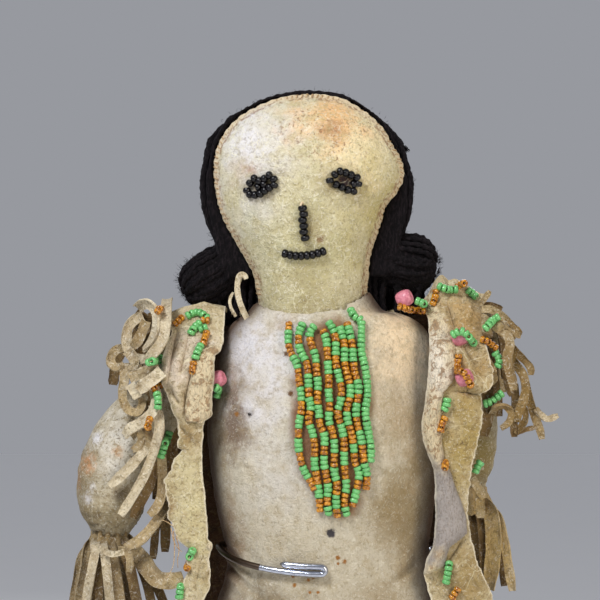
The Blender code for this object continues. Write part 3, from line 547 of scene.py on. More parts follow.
def tanned_hide(name, ground, shadow, patches, specks=0.5, nap=0.5, pricks_and_shade_spots=(), seam=0.0, sides=None):
    """Old tanned hide: mottled and speckled, with short pale fibres and stains.

    A patch is its middle, radius, colour, strength and how far it is squeezed along each axis. Some patches
    and spots also carry painted light and shade, and sides lays a band of painted shade, with some soil,
    down the body's sides.
    """
    made, tree, shader = new_finish(name, 0.88)
    colour = laid_over(tree, ground, shadow, between(tree, blotches(tree, 17, 5), 0.40, 0.70, 0.45))
    for middle, radius, tint, amount, stretch in patches:
        where = spot(tree, middle, radius, 0.3, stretch, 0.0)
        colour = laid_over(tree, colour, tint, both(tree, where, amount))
    colour = laid_over(tree, colour, shadow, between(tree, blotches(tree, 3.2, 6), 0.46, 0.70, 0.5))
    if seam:
        off_seam = between(tree, sum_of(tree, "ABSOLUTE", place_along(tree, "Y"), 0.0), 5.5 * MM, 0.0)
        worn = both(tree, off_seam, between(tree, blotches(tree, 1.3, 3), 0.35, 0.6, seam))
        colour = laid_over(tree, colour, paint(134, 92, 56), worn)
    fibres = blotches(tree, 1.9, 5, 3.2)
    colour = laid_over(tree, colour, paint(247, 242, 228), between(tree, fibres, 0.54, 0.64, 0.5 * nap))
    grime = between(tree, blotches(tree, 1.0, 5, 0.8), 0.50, 0.66, 0.62 * specks)
    colour = laid_over(tree, colour, paint(126, 106, 64), grime)
    some = between(tree, blotches(tree, 8, 2), 0.38, 0.6)
    pores = between(tree, blotches(tree, 0.75, 2), 0.60, 0.72, 0.6 * specks)
    colour = laid_over(tree, colour, paint(104, 80, 48), both(tree, pores, some))
    # Painted shade, with some soil: a dark brown band down the sides, where they turn away from the light
    if sides:
        near, far, tint, amount = sides
        back, height = place_along(tree, "Y"), place_along(tree, "Z")
        band = both(
            tree,
            between(tree, back, near * MM, far * MM),
            between(tree, back, *(v * MM for v in SIDE_SHADE_END)),
        )
        band = both(tree, band, between(tree, height, *(v * MM for v in SIDE_SHADE_FOOT), amount))
        shoulder = spot(tree, *SHOULDER_FREE_OF_SIDE_SHADE, 0.2)
        band = both(tree, band, between(tree, shoulder, 0.0, 0.7, 0.0, 1.0))
        colour = laid_over(tree, colour, tint, band)
    for middle, radius, tint in pricks_and_shade_spots:
        colour = laid_over(tree, colour, tint, spot(tree, middle, radius, 0.2, (1, 0.12, 1)))
    feed(tree, colour, shader.inputs["Base Color"])
    grain = sum_of(tree, "ADD", between(tree, fibres, 0.3, 0.75, 0.5), blotches(tree, 0.5, 2))
    grain = sum_of(tree, "ADD", grain, between(tree, blotches(tree, 2.4, 4), 0.2, 0.8, 1.3))
    relief(tree, shader, sum_of(tree, "SUBTRACT", grain, pores), 0.25)
    shader.inputs["Sheen Weight"].default_value = 0.06
    shader.inputs["Sheen Roughness"].default_value = 0.5
    shader.inputs["Specular IOR Level"].default_value = 0.25
    return made


# Chalk on the hide; its blue-white tint is painted cool light
CHALK_AND_COOL_LIGHT = paint(226, 224, 232)
RUST = paint(150, 100, 44)
body_hide = tanned_hide(
    "body_hide",
    paint(206, 196, 174),
    paint(172, 154, 120),
    (
        ((-20, -14, 208), 21, CHALK_AND_COOL_LIGHT, 0.75, (1, 1, 0.8)),
        ((-10, -17, 182), 18, paint(214, 210, 206), 0.5, (1, 1, 0.8)),
        ((18, -14, 208), 20, paint(204, 182, 152), 0.6, (1, 1, 0.8)),
        ((4, -17, 142), 22, paint(180, 168, 144), 0.6, (0.8, 1, 1)),
        # The darker tan down the doll's left side is partly its own colour, partly painted shade
        ((31, -8, 184), 22, paint(170, 146, 110), 0.8, (1, 1, 0.6)),
        ((25, -12, 152), 19, paint(150, 128, 92), 0.8, (1, 1, 0.8)),
        ((21, -13, 171), 15, paint(138, 116, 72), 0.75, (1, 0.5, 0.8)),
        # Brown stain and painted shadow of the coat front: the darker browns at the doll's right edge, x -25
        # to -31
        ((-31, -8, 200), 9, paint(132, 98, 70), 0.8, (1.2, 1, 0.45)),
        ((-28, -8, 156), 13, paint(146, 110, 74), 0.75, (1.2, 1, 0.6)),
        ((-13, -18, 143), 14, paint(122, 104, 76), 0.9, (1, 1, 1)),
        ((-25, -12, 192), 11, paint(116, 92, 70), 0.9, (1.4, 1, 0.55)),
        ((-25.5, -11, 205), 5, paint(150, 122, 100), 0.6, (1.4, 1, 0.5)),
        # Painted light: a warm pale patch on top of the left shoulder
        ((23, -12, 214), 16, paint(242, 216, 178), 0.95, (1, 0.8, 0.8)),
        ((-11, -14, 219), 5, paint(186, 160, 134), 0.5, (1, 1, 1)),
    ),
    specks=0.5,
    nap=0.5,
    seam=0.5,
    # painted shade, with some soil, down the body's sides
    sides=(-10.5, -2.5, paint(72, 46, 26), 0.93),
    pricks_and_shade_spots=(
        ((-19.9, -16.5, 193.8), 0.9, paint(30, 22, 16)),
        ((-9.9, -17, 210.4), 1.1, paint(112, 86, 62)),
        ((-8.6, -17.5, 199.7), 1.1, paint(104, 78, 54)),
        ((-23.4, -15, 193.9), 1.0, RUST),
        ((2.3, -18.6, 161.9), 1.75, paint(66, 62, 64)),
        ((4.2, -18, 155.2), 0.9, RUST),
        ((6.0, -18, 154.2), 0.9, RUST),
        ((4.2, -18, 153.6), 0.6, RUST),
        ((-8.0, -18, 150.2), 0.8, RUST),
        ((-3.8, -18, 149.2), 0.7, RUST),
        ((-2.6, -18, 149.8), 0.6, RUST),
        ((-7.6, -18, 147.7), 0.8, RUST),
        ((-3.4, -18, 145.9), 0.6, RUST),
        ((-1.2, -18, 145.9), 0.6, RUST),
    ),
)
# The hide is darker brown where the beads lie: partly stain, partly painted shade between the strings
tree, shader, bare = colour_so_far(body_hide)
shade_and_stain_under_beads = both(tree, spot(tree, (2.8, -18, 193), 32, 0.16, (2.85, 0.3, 1.06), 0.72), 0.86)
two_tone(tree, shader, bare, paint(128, 78, 34), shade_and_stain_under_beads)
rings = []
for k in range(TORSO_RINGS + 1):
    z = TORSO_TOP - 1.1 - (TORSO_HEIGHT * 1.02 - 1.1) * k / TORSO_RINGS
    rings.append(pillow_ring(0, *torso_at(z), z, BODY_SIDES))
points, faces = skin_of(rings)
rings = []
for rise, spread in NECK_SECTION:
    one = []
    for k in range(BODY_SIDES):
        a = math.tau * k / BODY_SIDES
        x = NECK_MIDDLE + NECK_HALF_BREADTH * math.cos(a)
        edge = between_marks(NECK_EDGE, x)
        if math.sin(a) > 0:
            edge += (NECK_BACK_EDGE - edge) * math.sin(a)
        flare = 1 + (0.42 if math.cos(a) > 0 else 0.3) * abs(math.cos(a)) * spread + 0.1 * spread
        x = NECK_MIDDLE + (NECK_HALF_BREADTH + 0.5) * flare * math.cos(a)
        y = (NECK_HALF_DEPTH + 0.5) * (1 + 0.12 * spread) * math.sin(a)
        foot = NECK_FOOT - 1.5 * abs(math.cos(a))
        one.append(Vector((x, y, foot + (edge - foot) * rise)))
    rings.append(one)
gather(points, faces, skin_of(rings))
for side in (-1, 1):
    rings = []
    for k in range(LEG_RINGS + 1):
        t = k / LEG_RINGS
        radius = THIGH_RADIUS + (ANKLE_RADIUS - THIGH_RADIUS) * t**1.4
        z = LEG_TOP + (LEG_BOTTOM - LEG_TOP) * t
        rings.append([Vector((side * LEG_SPREAD + u, v, z)) for u, v in ring(radius, LEG_SIDES)])
    gather(points, faces, skin_of(rings))
body = new_piece("body_skin", points, faces, [body_hide], ["body"], "doll_hide")
one_skin(body, BODY_MESH_SIZE, 3)
push(body, body_relief)

# Shoes
# Soft shoes of the same hide: a sole turned up all round, and a puckered seam over the toe.
# Drawn up round the ankle with a thong; they are below the edge of the photo.
SOLE_Z = 4.3
SHOE_LENGTH = 42
SHOE_WIDTH = 21
SHOE_HEIGHT = 17
SHOE_HEEL_Y = 12
SHOE_RINGS = 28
SHOE_SIDES = 64
TOE_PUCKERS = 34
# Share of the height, then shares of the length and the width
SHOE_ROWS = (
    (0.0, 0.86, 0.80),
    (0.12, 1.0, 1.0),
    (0.45, 0.97, 0.98),
    (0.75, 0.70, 0.88),
    (1.0, 0.50, 0.80),
)
shoe_hide = tanned_hide(
    "shoe_hide",
    paint(206, 190, 154),
    paint(168, 144, 104),
    (((0, 0, 6), 30, paint(120, 98, 68), 0.7, (0.4, 0.4, 6)),),
)
for side, name in ((-1, "right"), (1, "left")):
    rings = []
    for k in range(SHOE_RINGS + 1):
        t = k / SHOE_RINGS
        length, width = row_at(SHOE_ROWS, t)
        half = SHOE_LENGTH * length / 2
        middle_y = SHOE_HEEL_Y - half - (1 - t) * 0.5
        one = []
        for i in range(SHOE_SIDES):
            a = math.tau * i / SHOE_SIDES
            toe = max(0, -math.sin(a))
            pucker = 0.35 * math.cos(a * TOE_PUCKERS) * toe**2 * math.exp(-(((t - 0.55) / 0.16) ** 2))
            tuck = -0.6 * math.exp(-(((t - 0.13) / 0.045) ** 2)) - 0.7 * math.exp(-(((t - 0.9) / 0.05) ** 2))
            x = side * LEG_SPREAD + math.cos(a) * (SHOE_WIDTH * width / 2 + pucker + tuck)
            y = middle_y + math.sin(a) * (half + pucker + tuck)
            one.append(Vector((x, y, SOLE_Z + t * SHOE_HEIGHT)))
        rings.append(one)
    points, faces = skin_of(rings)
    shoe = new_piece(f"shoe_{name}", points, faces, [shoe_hide], [f"moccasin_{name}"], "doll_hide")
    push(shoe, lambda p, normal: 0.35 * lumps(p, 7, 11) * min(1, (p.z - SOLE_Z) / 3))

# Head
# Two skins of hide sewn edge to edge over hard stuffing, narrowing to a neck.
# Brown sinew whips the seam all the way round; the forehead carries an old rust stain.
HEAD_TOP = 281.9
HEAD_HEIGHT = 59.5
HEAD_BREADTH = 52.3
HEAD_DEPTH = 31
HEAD_MIDDLE = -3.5
# Drop, right half, left half and half depth, as shares of height, breadth and depth
HEAD_ROWS = (
    (0.018, 0.159, 0.163, 0.120),
    (0.084, 0.337, 0.300, 0.300),
    (0.151, 0.423, 0.382, 0.400),
    (0.230, 0.480, 0.438, 0.460),
    (0.300, 0.501, 0.484, 0.490),
    (0.380, 0.503, 0.497, 0.500),
    (0.450, 0.493, 0.465, 0.500),
    (0.516, 0.478, 0.405, 0.490),
    (0.595, 0.444, 0.379, 0.470),
    (0.684, 0.387, 0.342, 0.440),
    (0.768, 0.331, 0.315, 0.410),
    (0.842, 0.291, 0.308, 0.395),
    (0.926, 0.277, 0.304, 0.390),
    (1.000, 0.264, 0.300, 0.385),
)
NECK_TUCK = 2.2  # how far the neck goes down inside the torso's edge
STITCH_PITCH = 1.45
STITCH_REACH = 2.7
SINEW_RADIUS = 0.19
STITCHES_ROUND = 62  # the skin puffs up between the stitches
NECK_CREASES_TOP = 236
NECK_CREASES_FOOT = 223
RIM_BAND = 2.2  # breadth of the worn edge along the seam
HEAD_RINGS = 100
HEAD_SIDES = 132
RIM_STEPS = 120
RIM_FOOT = 0.93  # the stitches go down to this share of the head's height
# One stitch over the rim: places from front to back, as shares of its reach
STITCH_COURSE = (-1.35, -1.0, -0.66, -0.33, 0, 0.33, 0.66, 1.0, 1.35)
head_curve = [(0, 0, 0, 0)]
for drop, *shares in HEAD_ROWS:
    head_curve.append((math.sqrt(drop), *shares))


def head_at(z):
    drop = min(max((HEAD_TOP - z) / HEAD_HEIGHT, 0), 1)
    right, left, depth = row_at(head_curve, math.sqrt(drop))
    return right * HEAD_BREADTH, left * HEAD_BREADTH, depth * HEAD_DEPTH


def head_front(x, z):
    right, left, depth = head_at(z)
    share = min(abs(x - HEAD_MIDDLE - (left - right) / 2) / ((left + right) / 2), 0.999)
    return -depth * (1 - share**2) ** (SEAM_SHARPNESS / 2)


def head_relief(p, normal):
    shift = 0.28 * lumps(p, 11, 21) + 0.12 * lumps(p, 4, 23) + 0.06 * lumps(p, 1.8, 25)
    seam = abs(p.y) / 0.8
    lip = 0.3 * math.exp(-((seam - 1.4) ** 2)) - 0.35 * math.exp(-((seam * 1.6) ** 2))
    shift += lip * (1 + 0.6 * lumps(p, 1.6, 27))
    turn = math.atan2(p.z - HEAD_TOP + 30, p.x - HEAD_MIDDLE)
    shift += 0.17 * math.exp(-((p.y / 2.2) ** 2)) * math.cos(turn * STITCHES_ROUND + 1.5 * lumps(p, 9, 33))
    low = max(0, 1 - (p.z - NECK_CREASES_FOOT) / (NECK_CREASES_TOP - NECK_CREASES_FOOT))
    shift += 0.35 * low * math.sin(p.z * 1.9 + 0.9 * lumps(p, 8, 29) + 0.08 * p.x) * abs(lumps(p, 7, 31))
    return shift


head_hide = tanned_hide(
    "head_hide",
    paint(214, 204, 168),
    paint(186, 172, 122),
    (
        # Pale hide with painted cool light: the blue-white upper right of the forehead
        ((-20, -11, 269), 22, paint(232, 229, 234), 0.8, (1, 1, 0.8)),
        ((13, -10, 268), 22, paint(246, 226, 180), 0.95, (1, 1, 0.8)),
        ((-6, -15, 238), 20, paint(190, 182, 136), 0.75, (0.8, 1, 0.8)),
        ((18, -9, 247), 17, paint(196, 180, 114), 0.8, (1, 1, 0.7)),
        ((-17, -10, 244), 10, paint(188, 184, 158), 0.5, (1, 1, 0.7)),
        ((1.5, -10, 275), 13, paint(236, 188, 130), 0.9, (0.7, 1, 1)),
        ((3.0, -13, 271.5), 6.0, paint(172, 118, 78), 0.7, (1, 1, 1)),
        ((-21, -9, 260), 7, paint(196, 172, 150), 0.5, (1, 1, 1)),
        # Painted shade, with some grime: darker hide round each eye
        ((-16.5, -14, 255.5), 9, paint(128, 114, 82), 0.75, (0.9, 1, 1.4)),
        ((6, -14, 257), 9.5, paint(122, 106, 68), 0.75, (0.9, 1, 1.4)),
        ((-3.6, -15, 245), 7, paint(132, 110, 62), 0.65, (1.5, 1, 0.9)),
        ((-3.5, -15, 226), 15, paint(162, 148, 104), 0.8, (0.6, 1, 1.4)),
        ((-4, -14, 219), 12, paint(146, 132, 92), 0.7, (0.5, 0.6, 1.6)),
        ((-6, 0, 283), 9, paint(176, 128, 78), 0.8, (0.35, 1, 2)),
        ((-0.6, -15, 241.6), 2.0, paint(124, 84, 52), 0.75, (1, 0.12, 1)),
        ((-19.5, -12, 261.0), 2.6, paint(170, 120, 84), 0.5, (0.7, 0.12, 1.2)),
    ),
    specks=0.6,
    nap=0.8,
    seam=0.85,
    # Painted shade inside each eye's ring of beads
    pricks_and_shade_spots=(
        ((6.1, -15.5, 257.3), 2.9, paint(56, 42, 42)),
        ((-16.6, -14.5, 256.2), 3.0, paint(84, 68, 44)),
    ),
)
rings = []
for k in range(HEAD_RINGS + 1):
    t = max(k, 1) / HEAD_RINGS
    z = HEAD_TOP - (HEAD_HEIGHT + NECK_TUCK) * (t**1.6 if k else 0.00004)
    rings.append(pillow_ring(HEAD_MIDDLE, *head_at(z), z, HEAD_SIDES))
points, faces = skin_of(rings)
head = new_piece("head_skin", points, faces, [head_hide], ["head"], "doll_hide")
push(head, head_relief)

sinew, tree, shader = new_finish("sinew", 0.7)
twist = blotches(tree, 0.5, 3, stretch=(1, 1, 3))
two_tone(tree, shader, paint(222, 196, 152), paint(146, 102, 60), between(tree, twist, 0.35, 0.65))
relief(tree, shader, twist, 0.08)
rim = []
for side in (-1, 1):
    half_rim = []
    for k in range(RIM_STEPS + 1):
        z = HEAD_TOP - HEAD_HEIGHT * RIM_FOOT * (k / RIM_STEPS) ** 2
        right, left, _ = head_at(z)
        half_rim.append(Vector((HEAD_MIDDLE + (left if side > 0 else -right), 0, z)))
    rim += reversed(half_rim) if side < 0 else half_rim[1:]


def rim_inset(z, y):
    """How far the head has drawn in from its rim at a place in front of or behind the seam."""
    right, left, depth = head_at(z)
    share = min(abs(y) / max(depth, 8), 0.95)
    return (right + left) / 2 * (1 - math.sqrt(1 - share ** (2 / SEAM_SHARPNESS)))


def walk(run, pitch, start=0.0):
    """Places a fixed pitch apart along a run, each with its direction of travel."""
    stops = []
    left = start
    for a, b in zip(run, run[1:]):
        length = (b - a).length
        while left <= length and length > 0:
            stops.append((a + (b - a) * (left / length), (b - a).normalized()))
            left += pitch
        left -= length
    return stops


# The rim has a pale puffed edge, and a brown speckled line where the stitches pull in
outline = KDTree(len(rim))
for number, p in enumerate(rim):
    outline.insert(Vector((p.x, 0, p.z)), number)
outline.balance()
near_rim = []
for v in head.data.vertices:
    away = outline.find(Vector((v.co.x / MM, 0, v.co.z / MM)))[2]
    near_rim.append(max(0, 1 - away / RIM_BAND))
layer = head.data.attributes.new("rim", "FLOAT", "POINT")
layer.data.foreach_set("value", near_rim)
tree, shader, colour = colour_so_far(head_hide)
brow = spot(tree, (3, -12, 271), 22, 0.3, (0.9, 0.6, 1.2), 0.2)
freckles = both(tree, brow, between(tree, blotches(tree, 0.9, 3), 0.56, 0.66, 0.7))
colour = laid_over(tree, colour, paint(134, 92, 60), freckles)
near = marked(tree, "rim")
band = both(tree, between(tree, near, 0.1, 0.4), between(tree, near, 0.85, 0.6))
band = both(tree, band, between(tree, blotches(tree, 1.3, 4), 0.47, 0.60, 0.7))
colour = laid_over(tree, colour, paint(240, 220, 184), between(tree, near, 0.3, 0.8, 0.65))
colour = laid_over(tree, colour, paint(238, 232, 200), fine_cracks(tree, 3.4, 4, 3, 0.05, 0.5, 8))
two_tone(tree, shader, colour, paint(142, 96, 60), band)
dice = random.Random(4)
points, faces = [], []
for p, ahead in walk(rim, STITCH_PITCH, 0.4):
    out = Vector((0, 1, 0)).cross(ahead)
    out = -out if out.dot(p - Vector((HEAD_MIDDLE, 0, 250))) < 0 else out
    slant = ahead * dice.uniform(0.3, 0.65)
    loop = []
    for across in STITCH_COURSE:
        y = STITCH_REACH * across
        lift = 0.14 if abs(across) < 1.2 else -0.5
        loop.append(p + Vector((0, y, 0)) + slant * across + out * (lift - rim_inset(p.z, y)))
    gather(points, faces, sweep(smooth_run(loop, 16), lambda share: ring(SINEW_RADIUS, 6)))
new_piece("head_stitches", points, faces, [sinew], [], "doll_hide")

# Face
# Round black glass seed beads, sewn down on thread: a ring for each eye, a row for nose and mouth.
# Each bead sits a little sunk into the hide.
EYE_RADIUS = 1.14
NOSE_RADIUS = 1.3
MOUTH_RADIUS = 1.24
BLACK_LENGTH = 1.56
RIGHT_EYE = (
    (-20.6, 255.0),
    (-19.8, 256.9),
    (-18.6, 258.2),
    (-17.2, 257.5),
    (-15.8, 258.1),
    (-14.5, 259.0),
    (-13.2, 257.9),
    (-13.1, 256.3),
    (-14.4, 255.6),
    (-15.7, 254.8),
    (-16.9, 254.0),
    (-18.4, 253.7),
    (-19.8, 253.9),
)
LEFT_EYE = (
    (2.0, 257.5),
    (3.3, 259.1),
    (4.8, 260.0),
    (6.3, 259.7),
    (7.8, 259.1),
    (9.4, 258.4),
    (9.8, 256.7),
    (8.5, 254.7),
    (6.9, 255.0),
    (5.3, 255.7),
    (3.7, 256.4),
)
THREAD_END = (-5.7, 251.3)
THREAD_END_COURSE = ((0.5, 1.0, 0.2), (0, -0.3, 0), (-0.2, -0.5, -0.9), (0.1, 0.6, -1.6))
THREAD_END_RADIUS = 0.42
RIGHT_EYE_MIDDLE = ((-17.6, 255.8), (-16.0, 256.5))
LEFT_EYE_MIDDLE = ((8.5, 256.6),)
NOSE = ((-5.4, 250.0), (-5.1, 248.4), (-5.4, 246.8), (-5.1, 245.2), (-5.1, 243.6), (-4.7, 241.9))
MOUTH = (
    (-10.2, 237.7),
    (-8.7, 237.3),
    (-7.2, 237.1),
    (-5.7, 237.1),
    (-4.2, 237.2),
    (-2.7, 237.4),
    (-1.2, 237.8),
    (0.2, 238.3),
)


def bead(middle, axis, radius, length, hole=0.34, around=14, roundness=0.75, rows=10):
    """A seed bead: a short rounded tube of glass with its hole along the thread."""
    axis = axis.normalized()
    side = axis.cross(Vector((0.2, 0.9, 0.37))).normalized()
    up = axis.cross(side)
    wall = radius * (1 - hole) / 2
    ring_radius = radius - wall
    profile = []
    for k in range(rows):
        a = math.tau * k / rows
        c, s = math.cos(a), math.sin(a)
        out = math.copysign(abs(c) ** roundness, c) * wall
        along = math.copysign(abs(s) ** roundness, s) * length / 2
        profile.append((ring_radius + out, along))
    points = []
    for i in range(around):
        b = math.tau * i / around
        out = side * math.cos(b) + up * math.sin(b)
        points += [middle + out * r + axis * h for r, h in profile]
    faces = []
    n = len(profile)
    for i in range(around):
        for k in range(n):
            a, b = i * n, (i + 1) % around * n
            j = (k + 1) % n
            faces.append((a + k, a + j, b + j, b + k))
    return points, faces


def glass(name, core, edge, roughness, mottle_and_glints=0.4, size=2.1, polish=0.35, shine=0.5):
    """Glass of a bead, a little uneven in colour, with the polish of its outer skin; a strong mottle also
    paints glints and dark spots.
    """
    made, tree, shader = new_finish(name, roughness)
    uneven = between(tree, blotches(tree, size, 3), 0.38, 0.62, mottle_and_glints)
    two_tone(tree, shader, core, edge, uneven)
    shader.inputs["Coat Weight"].default_value = polish
    shader.inputs["Coat Roughness"].default_value = 0.08
    shader.inputs["Specular IOR Level"].default_value = shine
    relief(tree, shader, blotches(tree, 0.8, 2), 0.03)
    return made


black_glass = glass("black_glass", paint(7, 5, 8), paint(18, 13, 19), 0.05, polish=0.0, shine=0.42)


def on_face(x, z, radius):
    return Vector((x, head_front(x, z) - radius * 0.72, z))


def sew_beads(name, places, closed, extra, stands_for, radius):
    """Beads sewn one after another; the thread runs from each to the next."""
    middles = [on_face(x, z, radius) for x, z in places]
    points, faces = [], []
    for k, middle in enumerate(middles):
        if closed:
            axis = middles[(k + 1) % len(middles)] - middles[k - 1]
        else:
            axis = middles[min(k + 1, len(middles) - 1)] - middles[max(k - 1, 0)]
        gather(points, faces, bead(middle, axis, radius, BLACK_LENGTH, 0.2, 18, 1.0))
    for x, z in extra:
        middle = on_face(x, z, radius * 0.6)
        gather(points, faces, bead(middle, Vector((1, 0, 0.5)), radius, BLACK_LENGTH, 0.2, 18, 1.0))
    new_piece(name, points, faces, [black_glass], [stands_for], "black_beads")


sew_beads("eye_right", RIGHT_EYE, True, RIGHT_EYE_MIDDLE, "eye_beads_right", EYE_RADIUS)
sew_beads("eye_left", LEFT_EYE, True, LEFT_EYE_MIDDLE, "eye_beads_left", EYE_RADIUS)
sew_beads("nose", NOSE, False, (), "nose_beads", NOSE_RADIUS)
sew_beads("mouth", MOUTH, False, (), "mouth_beads", MOUTH_RADIUS)
knot_thread = glass("pale_thread", paint(232, 212, 182), paint(196, 168, 128), 0.7, polish=0.0)
top = on_face(*THREAD_END, 0.3)
run = [top + Vector(step) for step in THREAD_END_COURSE]
points, faces = sweep(smooth_run(run, 14), lambda share: ring(THREAD_END_RADIUS * (1 - 0.4 * share), 8))
new_piece("nose_thread", points, faces, [knot_thread], [], "doll_hide")

# Hair
# Black wool yarn sewn along the head's rim and down the back, parted in the middle.
# Each half is drawn to the side of the neck, doubled into a bunch and tied; the wool is fuzzy.
YARN_RADIUS = 0.78
YARN_TWIST = 2.2
FUZZ_RADIUS = 0.05
LOCKS_EACH_SIDE = 40
LOOPS_EACH_BUNCH = 34
# Side, middle (x, z), how steeply the bunch hangs, its radius and its length
BUNCHES = ((-1, -29.6, 232.4, 0.55, 7.9, 19), (1, 22.4, 236.0, 0.12, 8.6, 17.5))
# Locks that hang at the nape: first and last x, foot of the hang, and how many
NAPE_LOCKS = ((-29.0, -17.0, 219.0, 26), (10.5, 28.5, 221.5, 36))
NAPE_TOP = 238.5
# For each yarn along the top: how far it stands off, and its y
BROW_YARN = ((0.5, 1.6), (0.9, 3.2), (0.4, 5.0))
BUNCH_Y = 6
# One loop of a bunch: place along it and spread off its middle, as shares of length and radius
LOOP_COURSE = ((-0.5, 0.5), (-0.36, 0.85), (-0.1, 1.02), (0.2, 1.05), (0.4, 0.9), (0.5, 0.5), (0.47, 0.1))
LOCK_STEPS = 12
YARN_STEPS = 44
HAIR_MESH_SIZE = 0.9
FUZZ_HAIRS = 4200
TUFT_CURLS = 130

wool, tree, shader = new_finish("black_wool", 1.0)
strands = blotches(tree, 0.5, 4, 0.4, (1, 1, 0.35))
two_tone(tree, shader, paint(11, 9, 11), paint(34, 28, 31), between(tree, strands, 0.42, 0.72))
relief(tree, shader, strands, 0.25)
shader.inputs["Sheen Weight"].default_value = 0.12
shader.inputs["Sheen Roughness"].default_value = 0.45
shader.inputs["Sheen Tint"].default_value = paint(104, 96, 100)
shader.inputs["Specular IOR Level"].default_value = 0.15

hair_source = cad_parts["hair"].data
hair_points = [v.co / MM for v in hair_source.vertices]
hair_faces = [tuple(face.vertices) for face in hair_source.polygons]
scalp = BVHTree.FromPolygons(hair_points, hair_faces)
under_hair = new_piece("hair_base", hair_points, hair_faces, [wool], ["hair"], "yarn")
one_skin(under_hair, HAIR_MESH_SIZE, 3)
push(under_hair, lambda p, normal: -0.35 + 0.3 * lumps(p, 2.2, 41) + 0.2 * lumps(p, 0.9, 43))


def jolt(dice, reach):
    """A random step, up to a reach each way along each axis."""
    return Vector([dice.uniform(-reach, reach) for _ in range(3)])


def scatter(dice, spread):
    """A random step, mostly short, that seldom goes past twice its spread."""
    return Vector([dice.gauss(0, spread) for _ in range(3)])


def yarn_section(radius, twist, phase):
    """Two plies laid round each other."""

    def section(share):
        made = []
        taper = min(1, 0.4 + min(share, 1 - share) * 12)
        for u, v in ring(1, 8):
            angle = math.atan2(v, u)
            ply = 1 + 0.24 * math.cos(2 * (angle - phase - share * twist * math.tau))
            made.append((u * radius * taper * ply, v * radius * taper * ply))
        return made

    return section


def on_scalp(p, lift):
    """The nearest place on the hair's own form, and a little above it."""
    place, normal, _, _ = scalp.find_nearest(p)
    return place + normal * lift


def crown_place(turn, drop, rise):
    """A place above the cap: turn is 0 at the doll's left rim, pi at its right."""
    z = HEAD_TOP + 1 - drop * HEAD_HEIGHT
    right, left, depth = head_at(min(z, HEAD_TOP - 1))
    middle = HEAD_MIDDLE + (left - right) / 2
    half = (left + right) / 2 + 6
    y = (depth + 8) * math.sin(turn)
    return on_scalp(Vector((middle + half * math.cos(turn), y, z)), rise)


dice = random.Random(12)
yarn_runs = []
for side, bunch_x, bunch_z, lean, bunch_radius, bunch_length in BUNCHES:
    tie = Vector((bunch_x - side * bunch_length * 0.32, BUNCH_Y, bunch_z + 1))
    for k in range(LOCKS_EACH_SIDE):
        share = (k + dice.uniform(0.1, 0.9)) / LOCKS_EACH_SIDE
        start_drop = max(0.0, share - 0.12) * 0.75
        rim_turn = 0.02 + 1.35 * max(0, share) ** 1.15
        run = []
        for step in range(LOCK_STEPS + 1):
            t = step / LOCK_STEPS
            ease = 1 - (1 - min(1, t * 1.9)) ** 2.4
            turn = math.pi / 2 - (math.pi / 2 - rim_turn) * ease
            turn = turn if side > 0 else math.pi - turn
            drop = start_drop + (0.80 - start_drop) * t**1.25
            p = crown_place(turn, drop, YARN_RADIUS * dice.uniform(0.1, 0.7))
            pull = max(0, (t - 0.72) / 0.28) ** 1.5 * 0.8
            run.append(p.lerp(tie + Vector((0, (share - 0.3) * 7, (0.5 - share) * 4)), pull))
        yarn_runs.append(run)
    # The bunch: doubled strands that run out from the tie, turn over and come back
    for k in range(LOOPS_EACH_BUNCH):
        turn = math.tau * (k + dice.uniform(-0.2, 0.2)) / LOOPS_EACH_BUNCH
        layer = 0.82 if k % 3 else 0.5
        along = Vector((side * math.cos(lean), 0, -math.sin(lean)))
        lift = Vector((math.sin(lean) * side, 0, math.cos(lean)))
        round_it = (lift * math.cos(turn) + Vector((0, 1, 0)) * math.sin(turn)) * bunch_radius * layer
        middle = Vector((bunch_x, BUNCH_Y, bunch_z))
        reach = dice.uniform(0.92, 1.04)
        run = []
        for t, spread in LOOP_COURSE:
            wander = jolt(dice, 0.35)
            run.append(middle + along * bunch_length * t * reach + round_it * spread + wander)
        yarn_runs.append(run)
for first, last, foot, count in NAPE_LOCKS:
    for k in range(count):
        x = first + (last - first) * k / (count - 1)
        y = dice.uniform(1.0, 9.0)
        run = []
        for t in (0, 0.25, 0.5, 0.75, 1):
            sway = dice.uniform(-0.8, 0.8) * t
            z = NAPE_TOP + (foot - NAPE_TOP) * t + dice.uniform(-1, 0) * t
            run.append(Vector((x + sway, y + 1.5 * t, z)))
        yarn_runs.append(run)
for off, y in BROW_YARN:
    run = []
    for p in rim[::6]:
        if p.z > 272 - y:
            out = (p - Vector((HEAD_MIDDLE, 0, 255))).normalized()
            run.append(Vector((p.x, y, p.z)) + out * (off + dice.uniform(-0.15, 0.15)))
    yarn_runs.append(run)
points, faces = [], []
for run in yarn_runs:
    spun = smooth_run(run, YARN_STEPS)
    length = sum((b - a).length for a, b in zip(spun, spun[1:]))
    radius = YARN_RADIUS * dice.uniform(0.8, 1.15)
    section = yarn_section(radius, length / (YARN_TWIST * 2), dice.random() * math.tau)
    gather(points, faces, sweep(spun, section))
new_piece("hair_yarn", points, faces, [wool], [], "yarn")

# Fuzz: single hairs that stand off the yarn, and a few pulled tufts
# Place and size of each tuft
TUFTS = (
    ((-18.9, 3, 279.6), 0.9),
    ((-20.6, 3, 278.4), 0.8),
    ((6.3, 4, 281.2), 0.8),
    ((23.6, 5, 267.4), 0.9),
    ((23.4, 5, 261.6), 0.7),
    ((-32.6, 3, 256.0), 0.9),
    ((-26.0, 3, 274.6), 0.8),
)
points, faces = [], []
dice = random.Random(31)


